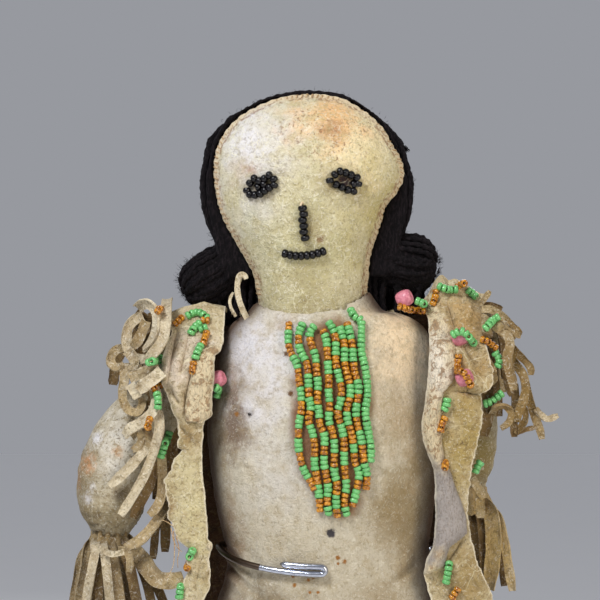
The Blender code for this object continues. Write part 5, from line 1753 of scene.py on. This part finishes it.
for side in (-1, 1):
    for i in range(ACROSS_FRONT + 1):
        share = i / ACROSS_FRONT
        for j in range(ALONG_FRONT + 1):
            drop = 1 - j / ALONG_FRONT
            inner, outer = coat_width(side, drop)
            width = outer - inner
            rim = near_edge(min(share, 1 - share) * width) if drop > 0.03 else near_edge(share * width)
            p, over = front_place(side, share, drop)
            put((side, i, j), p, max(rim, near_edge((1 - drop) * COAT_LENGTH)), over)
        shoulder, _ = front_place(side, share, 0)
        for j in range(1, ALONG_BACK + 1):
            drop = (j / ALONG_BACK) ** BACK_SPACING
            _, breadth = row_at(COAT_BACK, drop)
            spread = COAT_NECK_HALF + (COAT_BACK_HALF * breadth - COAT_NECK_HALF) * share
            p = back_place(side * spread, drop)
            p.x = shoulder.x + (p.x - shoulder.x) * min(1, drop / 0.06)
            rise = shoulder.z - ridge_at(side)
            p.z += rise * max(0, 1 - drop / BUNCH_REACH) ** 2
            rim = near_edge((1 - share) * 23) if drop > 0.03 else 0
            put((side, i, ALONG_FRONT + j), p, max(rim, near_edge((1 - drop) * COAT_LENGTH)))
    for i in range(ACROSS_FRONT):
        for j in range(ALONG_FRONT + ALONG_BACK):
            corners = [(side, i, j), (side, i + 1, j), (side, i + 1, j + 1), (side, i, j + 1)]
            face = tuple(index[c] for c in corners)
            faces.append(face if side > 0 else tuple(reversed(face)))
for k in range(1, ACROSS_NECK):
    for j in range(1, ALONG_BACK + 1):
        drop = (j / ALONG_BACK) ** BACK_SPACING
        x = -COAT_NECK_HALF + 2 * COAT_NECK_HALF * k / ACROSS_NECK
        rim = max(near_edge(drop * COAT_LENGTH), near_edge((1 - drop) * COAT_LENGTH))
        put((0, k, j), back_place(x, drop), rim)


def back_key(k, j):
    if k == 0:
        return (-1, 0, ALONG_FRONT + j)
    if k == ACROSS_NECK:
        return (1, 0, ALONG_FRONT + j)
    return (0, k, j)


for k in range(ACROSS_NECK):
    for j in range(1, ALONG_BACK):
        corners = [back_key(k, j), back_key(k, j + 1), back_key(k + 1, j + 1), back_key(k + 1, j)]
        faces.append(tuple(index[c] for c in reversed(corners)))


# The coat's hide is tan and worn outside; the turned flesh side and the cut edges are paler
coat_hide = tanned_hide(
    "coat_hide",
    paint(200, 184, 148),
    paint(154, 128, 82),
    (
        ((-39, -15, 209), 13, paint(220, 202, 186), 0.75, (1, 1, 0.7)),
        ((-28, -15, 216), 6, paint(236, 230, 218), 0.7, (1, 1, 0.6)),
        ((-36, -14, 168), 14, paint(208, 196, 150), 0.75, (1, 1, 0.5)),
        ((-37, -14, 188), 6, paint(146, 118, 70), 0.7, (1, 1, 1)),
        ((-42.4, -14, 167), 7, paint(132, 96, 52), 0.85, (1.9, 0.6, 0.75)),
        ((40, -14, 190), 13, paint(166, 142, 78), 0.85, (1, 1, 0.5)),
        ((41, -12, 210), 13, paint(172, 142, 92), 0.85, (1, 1, 0.7)),
        ((40, -8, 224), 13, paint(186, 152, 98), 0.85, (1, 1, 0.8)),
        ((40, -13, 150), 12, paint(158, 132, 78), 0.8, (1, 1, 0.6)),
        ((34, -14, 150), 8, paint(150, 126, 74), 0.6, (1, 1, 0.8)),
    ),
    specks=1.0,
    nap=0.6,
)
tree, shader, colour = colour_so_far(coat_hide)
colour = laid_over(tree, colour, paint(232, 222, 186), fine_cracks(tree, 6.5, 5, 5, 0.035, 0.6, 9))
grey = spot(tree, (36, -15, 167), 16, 0.2, (1, 0.3, 0.8), 0.5)
brown = sum_of(tree, "SUBTRACT", 1.0, grey)
flesh = laid_over(tree, paint(218, 200, 164), paint(162, 154, 150), grey)
chalky = spot(tree, (31, -15, 206), 13, 0.3, (1.6, 0.3, 0.8), 0.2)
flesh = laid_over(tree, flesh, paint(238, 226, 206), chalky)
stains = between(tree, blotches(tree, 2.4, 6, 1.2), 0.50, 0.60, 0.75)
flesh = laid_over(tree, flesh, paint(140, 100, 58), both(tree, stains, brown))
grain = between(tree, blotches(tree, 0.7, 3, 0.3, (1.7, 1, 0.7)), 0.46, 0.66, 0.5)
flesh = laid_over(tree, flesh, paint(112, 100, 88), grain)
colour = laid_over(tree, colour, flesh, both(tree, marked(tree, "turned"), 0.92))
ragged = both(tree, marked(tree, "edge"), between(tree, blotches(tree, 2.2, 4), 0.3, 0.6, 1, 0.5))
two_tone(tree, shader, colour, paint(240, 230, 206), between(tree, ragged, 0.2, 0.75, 0.55))
# The coat's inside face: its own dark reddish brown, made darker still as painted shade where it shows in
# the gaps
coat_inside_shaded = tanned_hide("coat_inside_shaded", paint(82, 56, 36), paint(40, 26, 16), (), specks=0.5, nap=0.08)
coat = new_piece("coat_skin", points, faces, [coat_hide, coat_inside_shaded], ["coat"], "coat_hide")
for attribute, values in (("edge", edges), ("turned", turns)):
    layer = coat.data.attributes.new(attribute, "FLOAT", "POINT")
    layer.data.foreach_set("value", values)
outward = sum(face.normal.y for face in coat.data.polygons if face.center.y > 12 * MM)
if outward < 0:
    coat.data.flip_normals()
skin = coat.modifiers.new("thickness", "SOLIDIFY")
skin.thickness = HIDE_THICKNESS * MM
skin.offset = 0
skin.material_offset = 1
graph = bpy.context.evaluated_depsgraph_get()
sheet = bpy.data.meshes.new_from_object(coat.evaluated_get(graph))
coat.modifiers.clear()
coat.data = sheet
coat.data.shade_smooth()
crisp(coat, 55)

# Shoulder fringe
# Strips cut in the coat's shoulders; dry, they have curled into loops and stand over the arms.
# Those in front are laid as the photo shows them; those behind the shoulder are guessed.
RIGHT_STRIPS = (
    (DARK_AND_SHADED, 5.2, 0.1, ((166, 414, 2), (169, 430, 3), (169, 448, 4), (168, 464, 4), (164, 482, 4))),
    (DARK_AND_SHADED, 3.6, 0.2, ((163, 452, -5), (162, 468, -5), (160, 484, -5), (157, 500, -5))),
    (DARK_AND_SHADED, 3.0, 0.05, ((121, 350, -5), (117, 361, -6), (114.5, 373, -6.5), (113, 385, -6.5))),
    (TAWNY, 2.6, 0.3, ((158, 436, -13), (161.5, 458, -13), (162.5, 479, -13), (161, 497, -13),
        (156, 508, -13.5), (149, 515, -13.5))),
    (DARK_AND_SHADED, 2.7, 0.3, ((152, 462, -14.5), (151, 480, -14.5), (145.5, 494, -14), (138.5, 506, -13.5),
        (133, 518, -13))),
    (TAWNY, 2.9, 0.25, ((167, 503, -9), (160, 516, -12), (149, 531, -13.8), (138.5, 541, -14.5),
        (125, 548, -14.5))),
    (DARK_AND_SHADED, 2.7, 0.2, ((165, 480, -6), (165, 505, -6), (165.5, 530, -6), (165, 552, -6))),
    (DARK_AND_SHADED, 2.2, 0.3, ((158, 505, -4), (156.5, 524, -4), (154.5, 542, -4), (153, 559, -4))),
    (DARK_AND_SHADED, 1.8, 0.4, ((141, 310, -6), (136.5, 319, -8), (139, 329, -10), (143, 338, -11))),
    (DARK_AND_SHADED, 5.0, 0.1, ((151, 316, -5), (143, 330, -6), (137, 345, -7), (136, 360, -8))),
    (PALE, 2.8, 0.6, ((143, 316, -11), (135.5, 319, -12), (128.5, 327, -12.5), (126.5, 338, -13),
        (128.5, 349, -13.3), (134.5, 357, -13.6), (143, 359.5, -14), (151, 356, -14))),
    (TAWNY, 2.8, 0.5, ((146, 321, -12.5), (142, 332, -13.8), (137.5, 341, -14.3), (132.5, 347, -13.8))),
    (PALE, 3.0, 0.35, ((137, 309, -9), (142.5, 304.5, -11), (149, 304.5, -13), (154.5, 311, -14.5),
        (156, 323, -15.5), (154, 335, -15.8), (149, 344, -15.4), (143, 350, -14.6))),
    (PALE, 2.9, 0.04, ((167.5, 299, -1), (166.6, 303, -8), (166, 318, -15), (164.6, 334, -17),
        (159.5, 345.5, -18), (152.5, 354, -18), (146.5, 360.5, -17))),
    (TAWNY, 2.7, 0.25, ((127, 351, -14), (134, 361, -15), (133, 372, -14.5))),
    (TAWNY, 2.4, 0.5, ((125.5, 348, -11), (117, 349.5, -12), (111.5, 355.5, -12.5), (111, 363, -13),
        (116.5, 367.5, -13.5), (123.5, 364.5, -14))),
    (TAWNY, 2.4, 0.3, ((124.5, 363, -14), (124.5, 379, -14.3), (122.5, 391, -14.3), (123.5, 402, -14.6),
        (129.5, 410.5, -15), (138, 412, -15), (142.5, 405, -15), (141, 398, -14.5))),
    (DARK_AND_SHADED, 1.9, 0.5, ((140, 392, -13), (147, 390.5, -14), (152, 396, -14), (149.5, 404, -13.5),
        (143.5, 410, -13))),
    (TAWNY, 3.0, 0.05, ((130, 378, -15.5), (141, 373.5, -16.5), (151, 370, -17), (159, 368, -17))),
    (PALE, 3.5, 0.03, ((162, 371, -18), (153.5, 378.5, -19), (145, 384.5, -19), (138, 391, -18.5))),
    (PALE, 2.8, 0.03, ((130, 384, -16.5), (134.5, 391, -17), (138, 398, -16.5))),
    (TAWNY, 2.1, 0.5, ((131, 437, -15), (137, 431, -16), (141.5, 437, -16), (139, 446, -16),
        (132.5, 450, -15))),
    (TAWNY, 2.1, 0.4, ((144, 424, -15), (149, 436, -16), (147, 446, -16), (142, 452, -15.5))),
    (PALE, 2.7, 0.4, ((150.5, 444, -15.5), (142, 454, -16.5), (131.5, 465.5, -16.5), (120, 476.5, -16.3),
        (109.5, 486.5, -16))),
    (PALE, 3.0, 0.35, ((154, 388, -15), (156.5, 400, -17), (152.5, 412, -18), (145, 420.5, -18.4),
        (136, 425.5, -18), (129, 429.5, -17.3), (124.5, 436, -16))),
    (PALE, 2.5, 0.35, ((152, 404, -15), (158.5, 415, -17), (159.5, 429, -18), (156, 443, -18),
        (151, 459, -17.6), (144, 476, -17.2), (134, 494, -16.8), (126, 507, -16.4), (120.5, 515.5, -16))),
)
LEFT_STRIPS = (
    (DARK_AND_SHADED, 2.1, 0.2, ((506, 370, -7), (508, 384, -7.5), (512, 396, -7.5))),
    (DARK_AND_SHADED, 2.2, 0.25, ((514, 384, -7), (515.5, 400, -7.5), (514, 415, -8), (514, 428, -8),
        (514.5, 437, -8))),
    (TAWNY, 1.7, 0.4, ((518, 403, -8), (524.5, 410, -8), (525.5, 419, -8), (521, 427, -8),
        (515.5, 434, -8))),
    (DARK_AND_SHADED, 1.3, 0.3, ((516.5, 433, -8), (526, 429.5, -7.5), (536.5, 427, -7))),
    (TAWNY, 2.3, 0.3, ((524, 378, -5), (528, 394, -6), (532, 408, -6), (537, 422, -6.5), (540, 430, -6.5),
        (542, 439, -6))),
    (PALE, 1.7, 0.4, ((535, 409, -6), (541, 415, -6.5), (548, 419, -7), (558, 415.5, -6))),
    (TAWNY, 2.0, 0.4, ((510, 345, -7), (518, 354, -8), (525, 361, -8), (530.5, 368, -8), (531, 375, -7.5))),
    (TAWNY, 2.4, 0.3, ((509, 356, -8), (517, 366, -9.5), (523.5, 376, -10), (525.5, 388, -10),
        (523.5, 400, -10), (519.5, 411, -9.5), (517, 422, -9))),
    (TAWNY, 1.5, 0.2, ((480, 305, -8), (485, 298, -9), (490, 291, -9))),
    (DARK_AND_SHADED, 1.8, 0.2, ((483, 306, -7), (492, 305.5, -8), (502, 309.5, -8))),
    (TAWNY, 2.2, 0.2, ((482, 309, -9), (491, 309.5, -10), (500, 314.5, -10.5), (508, 322, -10),
        (515, 329, -9.5), (520.5, 334, -9))),
    (PALE, 1.8, 0.2, ((501, 321, -10), (509, 329, -10.5), (516, 334, -10), (521, 335.5, -9))),
    (TAWNY, 2.8, 0.1, ((492, 322, -10), (499, 328, -12), (506, 334, -12), (513, 341, -11))),
    (PALE, 2.6, 0.15, ((500, 328, -11), (507.5, 336, -12.5), (510, 345, -13), (507.5, 356, -13),
        (508.5, 367, -12.5), (512, 379, -12), (514, 390, -11))),
    (TAWNY, 2.6, 0.3, ((482, 348, -10), (485, 358, -12), (490, 368, -13), (494, 377, -12))),
    (TAWNY, 3.2, 0.2, ((478, 376, -12), (487, 377, -13.5), (493, 379, -13), (488, 387, -12),
        (482, 393, -11))),
    (DARK_AND_SHADED, 3.0, 0.3, ((484, 388, -7), (489, 404, -8), (487, 420, -8), (484, 436, -7))),
    (TAWNY, 1.9, 0.5, ((492, 414, -8), (496, 407.5, -12), (505, 406.5, -12.5), (511, 412.5, -12),
        (509, 422, -11.5), (501, 428.5, -10.5))),
)
# Behind the shoulder: root, then three more corners, for the doll's left; mirrored for its right
BACK_STRIPS = (
    ((44, 4, 221.5), (48.5, 7, 219.5), (51, 8, 213), (51.5, 8, 203)),
    ((45, 8, 220.5), (48.5, 11, 217.5), (50.5, 12, 210), (51.5, 12, 199)),
    ((45, 12, 217.5), (48, 15, 213), (49.5, 16, 205), (50.5, 16, 192)),
    ((45, 15, 212.5), (47, 18, 207), (48.5, 19, 197), (49, 19, 184)),
)
WELT_RADIUS = 15
WELT_MIDDLE_Y = 1.5
WELT_SPAN = 128
WELT_X = 45
WELT_STEPS = 40
for side, name, strips in ((-1, "right", RIGHT_STRIPS), (1, "left", LEFT_STRIPS)):
    welt = []
    for k in range(WELT_STEPS + 1):
        a = math.radians(WELT_SPAN * (k / WELT_STEPS - 0.5))
        z = ridge_at(side) - WELT_RADIUS * (1 - math.cos(a))
        welt.append(Vector((side * WELT_X, WELT_MIDDLE_Y + WELT_RADIUS * math.sin(a), z)))

    def welt_section(share):
        size = 1 + 0.3 * noise.noise(Vector((share * 9, side, 0)))
        return [(u * 2.0, v * 1.1) for u, v in ring(size, 12)]

    points, faces = sweep(welt, welt_section)
    kinds = [TAWNY] * len(faces)
    lay_strips(strips, 40 * side, points, faces, kinds)
    for k, corners in enumerate(BACK_STRIPS):
        behind = [Vector((side * x, y, z)) for x, y, z in corners]
        strip = cut_strip(behind, STRIP_WIDTH * 0.9, STRIP_THICKNESS, k + side * 40)
        add_strip(points, faces, kinds, TAWNY if k % 2 else DARK_AND_SHADED, strip)
    stands_for = [f"shoulder_fringe_{name}"]
    strips_name = f"shoulder_strips_{name}"
    crisp(new_piece(strips_name, points, faces, fringe_finishes, stands_for, "coat_hide", kinds))

# Loose threads
# Ends of twisted sinew that once held the coat's edge.
# They have come loose below the right shoulder, and stick out of the hide.
LOOSE_THREAD_RADIUS = 0.16
LOOSE_THREADS = (
    ((173, 526, -14.5), (167, 522, -15), (162, 520, -15)),
    ((171, 528, -14.5), (173.5, 540, -15.5), (177, 547, -15.5), (182, 552, -15.5)),
    ((173.5, 531, -14.5), (174.5, 548, -15.5), (173, 566, -15.5), (166, 579, -15)),
    ((176, 536, -14.5), (179, 549, -15.5), (177.5, 560, -15.5), (178, 568, -15)),
)
points, faces = [], []
for course in LOOSE_THREADS:
    run = smooth_run([seen(*place) for place in course], 18)
    gather(points, faces, sweep(run, lambda share: ring(LOOSE_THREAD_RADIUS * (1 - 0.5 * share), 6)))
new_piece("loose_threads", points, faces, [sinew], [], "coat_hide")

# Side strap
# A strap of hide that sags from the right cuff to the edge of the coat.
# Cut from the same skin.
STRAP = (
    (-54.5, -3, 158.5), (-50, -9, 154.5), (-47.5, -12, 151.5), (-45, -13, 149), (-41.5, -13, 148.5),
    (-38, -13, 149.5),
)
STRAP_WIDTH = 4.6
STRAP_THICKNESS = 1.2
points, faces = cut_strip(STRAP, STRAP_WIDTH, STRAP_THICKNESS, 90, steps=40, turn=0.2)
strap = new_piece("side_strap", points, faces, [fringe_finishes[TAWNY]], ["side_tie_right"], "coat_hide")
crisp(strap)

# Coat beads
# Short strings of green and amber seed beads and four round pink ones, sewn to the coat's fronts.
# The threads are loose now, so the strings lie as they fall over the folds.
PINK_RADIUS = 2.3
BEADS_LIE_ON = (
    "coat_skin", "shoulder_strips_right", "shoulder_strips_left", "body_skin", "sleeve_right", "sleeve_left",
    "hair_base",
)
IN_FRONT = -60  # the strings are laid from here, towards the doll
FREE_Y = -8  # a string that passes over nothing hangs here
FRINGE_X = 41
FRINGE_TOP = 222
FRINGE_Y = -10  # over the left shoulder's fringe a string lies no further back than this
FOREMOST_Y = -24
STRING_LIFT = 0.8  # in radii of a bead
# Side, glass, course as (x, z), and the node that the string stands for
COAT_STRINGS = (
    ("green", ((-37.5, 220.5), (-35.5, 221.5), (-33.5, 221.5), (-31.5, 220)), "coat_beads_right_1"),
    ("green", ((-33.5, 219), (-35, 217.5), (-36, 216)), "coat_beads_right_2"),
    ("amber", ((-31.5, 216.5), (-32, 215), (-32.5, 213)), "coat_beads_right_3"),
    ("green", ((-33, 213), (-34, 211), (-34.5, 209.5)), "coat_beads_right_4"),
    ("green", ((25.5, 225), (28, 224)), "coat_beads_left_1"),
    ("amber", ((31.5, 228), (31.2, 226), (30.5, 224)), "coat_beads_left_2"),
    ("green", ((35, 215.5), (38, 216.5), (41.5, 213)), "coat_beads_left_3"),
    ("green", ((34, 198.5), (33.5, 196), (32.5, 194.5)), "coat_beads_left_4"),
    ("amber", ((33.5, 193.5), (32.5, 191.5), (32, 189.5)), "coat_beads_left_5"),
    ("green", ((34.5, 154), (34, 151), (33.5, 148)), "coat_beads_left_6"),
    ("amber", ((-33.5, 219.5), (-31, 219.5)), ""),
    ("green", ((-31.5, 217.5), (-33.5, 217)), ""),
    ("amber", ((-35, 208.5), (-35.5, 204.5)), ""),
    ("amber", ((-38.5, 220.5), (-40.5, 218.5)), ""),
    ("amber", ((-44, 223), (-45, 221.5)), ""),
    ("green", ((-47.5, 208), (-46, 208.5), (-44.5, 208)), ""),
    ("amber", ((-44, 202), (-46, 201)), ""),
    ("green", ((-45, 200), (-44.5, 198), (-44.5, 195.5)), ""),
    ("amber", ((-46.5, 193.5), (-47.5, 190)), ""),
    ("green", ((-42, 189), (-43, 185.5), (-44, 182.5)), ""),
    ("green", ((-29.5, 201.5), (-28.5, 200.5), (-29, 198.5)), ""),
    ("green", ((-35, 157.5), (-36.5, 154.5)), ""),
    ("amber", ((-36.5, 153), (-38, 149.5)), ""),
    ("green", ((-38.5, 148), (-39, 143.5)), ""),
    ("amber", ((20.5, 223.5), (24, 222.5), (28.5, 222)), ""),
    ("green", ((32, 229), (34.5, 228), (37, 228)), ""),
    ("amber", ((37, 228.5), (39.5, 230)), ""),
    ("green", ((40, 228), (41.5, 227), (43, 225.5)), ""),
    ("amber", ((37, 210.5), (36.5, 207)), ""),
    ("amber", ((35.5, 206), (38, 205.5), (40, 202)), ""),
    ("green", ((44, 217), (46, 219), (48, 220.5)), ""),
    ("amber", ((43, 214.5), (45.5, 213.5), (48, 211.5)), ""),
    ("green", ((47, 211), (48.5, 208.5), (47.5, 206)), ""),
    ("green", ((44, 196.5), (46.5, 197.5), (49, 199.5)), ""),
    ("amber", ((33.5, 181.5), (33, 179)), ""),
    ("green", ((43.5, 181), (42.5, 179.5), (41.5, 177.5)), ""),
    ("amber", ((37, 147), (35, 144)), ""),
)
# Place across and up, and how far each is lifted off what it lies on
PINK_BEADS = (
    ((22.5, 225.5), 2.1, 1), ((37.5, 215), 2.1, 2), ((38.5, 204), 2.1, 3), ((-28.7, 203.4), 6.5, 4),
)

pink_glass = glass("pink_glass", paint(214, 132, 146), paint(186, 102, 118), 0.42, 0.8, 0.8, 0.1)
surface_points, surface_faces = [], []
for name in BEADS_LIE_ON:
    mesh = bpy.data.objects[name].data
    skin_faces = [tuple(f.vertices) for f in mesh.polygons]
    gather(surface_points, surface_faces, ([v.co / MM for v in mesh.vertices], skin_faces))
front = BVHTree.FromPolygons(surface_points, surface_faces)


def on_front(x, z, lift):
    """The frontmost place of the doll at x and z, and a lift in front of it."""
    place, _, _, _ = front.ray_cast(Vector((x, IN_FRONT, z)), Vector((0, 1, 0)))
    y = place.y if place else FREE_Y
    y = min(y, FRINGE_Y) if x > FRINGE_X and z < FRINGE_TOP else y
    return Vector((x, max(y, FOREMOST_Y) - lift, z))


for (x, z), lift, number in PINK_BEADS:
    middle = on_front(x, z, lift)
    made = bead(middle, Vector((0.9, -0.3, 0.4)), PINK_RADIUS, PINK_RADIUS * 1.86, 0.12, 32, 0.9, 26)
    new_piece(f"round_bead_{number}", *made, [pink_glass], [f"pink_bead_{number}"], "pink_beads")
    gather(surface_points, surface_faces, made)
front = BVHTree.FromPolygons(surface_points, surface_faces)
dice = random.Random(19)
for number, (colour, course, node) in enumerate(COAT_STRINGS, 1):
    corners = [on_front(x, z, GREEN_RADIUS * 0.85) for x, z in course]
    run = smooth_run(corners, 24)
    run = [on_front(p.x, p.z, GREEN_RADIUS * STRING_LIFT) for p in run]
    smooth_y = [min(p.y for p in run[max(0, k - 3) : k + 4]) for k in range(len(run))]
    run = [Vector((p.x, y, p.z)) for p, y in zip(run, smooth_y)]
    stands_for = [node] if node else []

    def is_green(middle):
        return colour == "green"

    thread_beads(f"coat_string_{number}", run, is_green, stands_for, f"{colour}_beads", dice)

# Neck thong
# A cut end of thong that stands up at the coat's neck, its tip folded into a small knot.
# Stiff dried hide, the colour of the fringe.
THONG = (
    (-20.6, -5.0, 219.8),
    (-22.0, -5.2, 222.6),
    (-23.1, -5.0, 225.8),
    (-23.4, -5.0, 228.6),
    (-23.0, -5.2, 230.9),
    (-22.3, -5.4, 231.9),
    (-21.3, -5.4, 231.7),
    (-20.9, -5.2, 230.9),
)
SHORT_END = ((-23.8, -4.0, 220.5), (-25.2, -4.2, 223.0), (-25.4, -4.2, 225.2), (-24.6, -4.0, 227.2))
points, faces = cut_strip(THONG, 1.6, 1.0, 95, steps=44)
gather(points, faces, cut_strip(SHORT_END, 0.8, 0.6, 96, steps=16))
thong = new_piece("neck_thong", points, faces, [fringe_finishes[PALE]], ["collar_thong"], "coat_hide")
crisp(thong)

# Floor, lights and camera
# A plain pale floor under soft studio light: a cool key from the upper left, a warmer fill from the right.
# The camera stands level with the doll's chest, as in the photo.
FLOOR_HALF = 3.0
CAMERA_LENS = 151.2
floor_mesh = bpy.data.meshes.new("floor")
corners = [(FLOOR_HALF * u, FLOOR_HALF * v, 0) for u, v in ((-1, -1), (1, -1), (1, 1), (-1, 1))]
floor_mesh.from_pydata(corners, [], [(0, 1, 2, 3)])
floor = bpy.data.objects.new("floor", floor_mesh)
bpy.context.scene.collection.objects.link(floor)
paper, tree, shader = new_finish("pale_paper", 0.9)
two_tone(tree, shader, paint(255, 255, 255), paint(253, 253, 253), blotches(tree, 90, 2))
floor_mesh.materials.append(paper)

world = bpy.data.worlds.new("studio")
world.use_nodes = True
world.node_tree.nodes["Background"].inputs["Color"].default_value = paint(151, 153, 159)
world.node_tree.nodes["Background"].inputs["Strength"].default_value = 1.0
bpy.context.scene.world = world


def soft_light(name, place, aim, size, power, colour):
    lamp = bpy.data.lights.new(name, "AREA")
    lamp.shape = "DISK"
    lamp.size = size
    lamp.energy = power
    lamp.color = colour
    made = bpy.data.objects.new(name, lamp)
    made.location = place
    made.rotation_euler = (Vector(aim) - Vector(place)).to_track_quat("-Z", "Y").to_euler()
    bpy.context.scene.collection.objects.link(made)


soft_light("key", (-0.24, -0.40, 0.62), (0, 0, 0.22), 0.2, 3.0, (0.95, 0.97, 1.0))
soft_light("fill", (0.62, -0.75, 0.35), (0, 0, 0.2), 0.5, 3.2, (1.0, 0.9, 0.74))
soft_light("back", (0.2, 0.9, 0.6), (0, 0, 0.2), 0.6, 2.0, (1.0, 1.0, 1.0))

camera_data = bpy.data.cameras.new("camera")
camera_data.lens = CAMERA_LENS
camera = bpy.data.objects.new("camera", camera_data)
camera.location = [v * MM for v in CAMERA_PLACE]
camera.rotation_euler = (math.radians(90), 0, 0)
bpy.context.scene.collection.objects.link(camera)
bpy.context.scene.camera = camera
bpy.context.scene.view_settings.view_transform = "Standard"
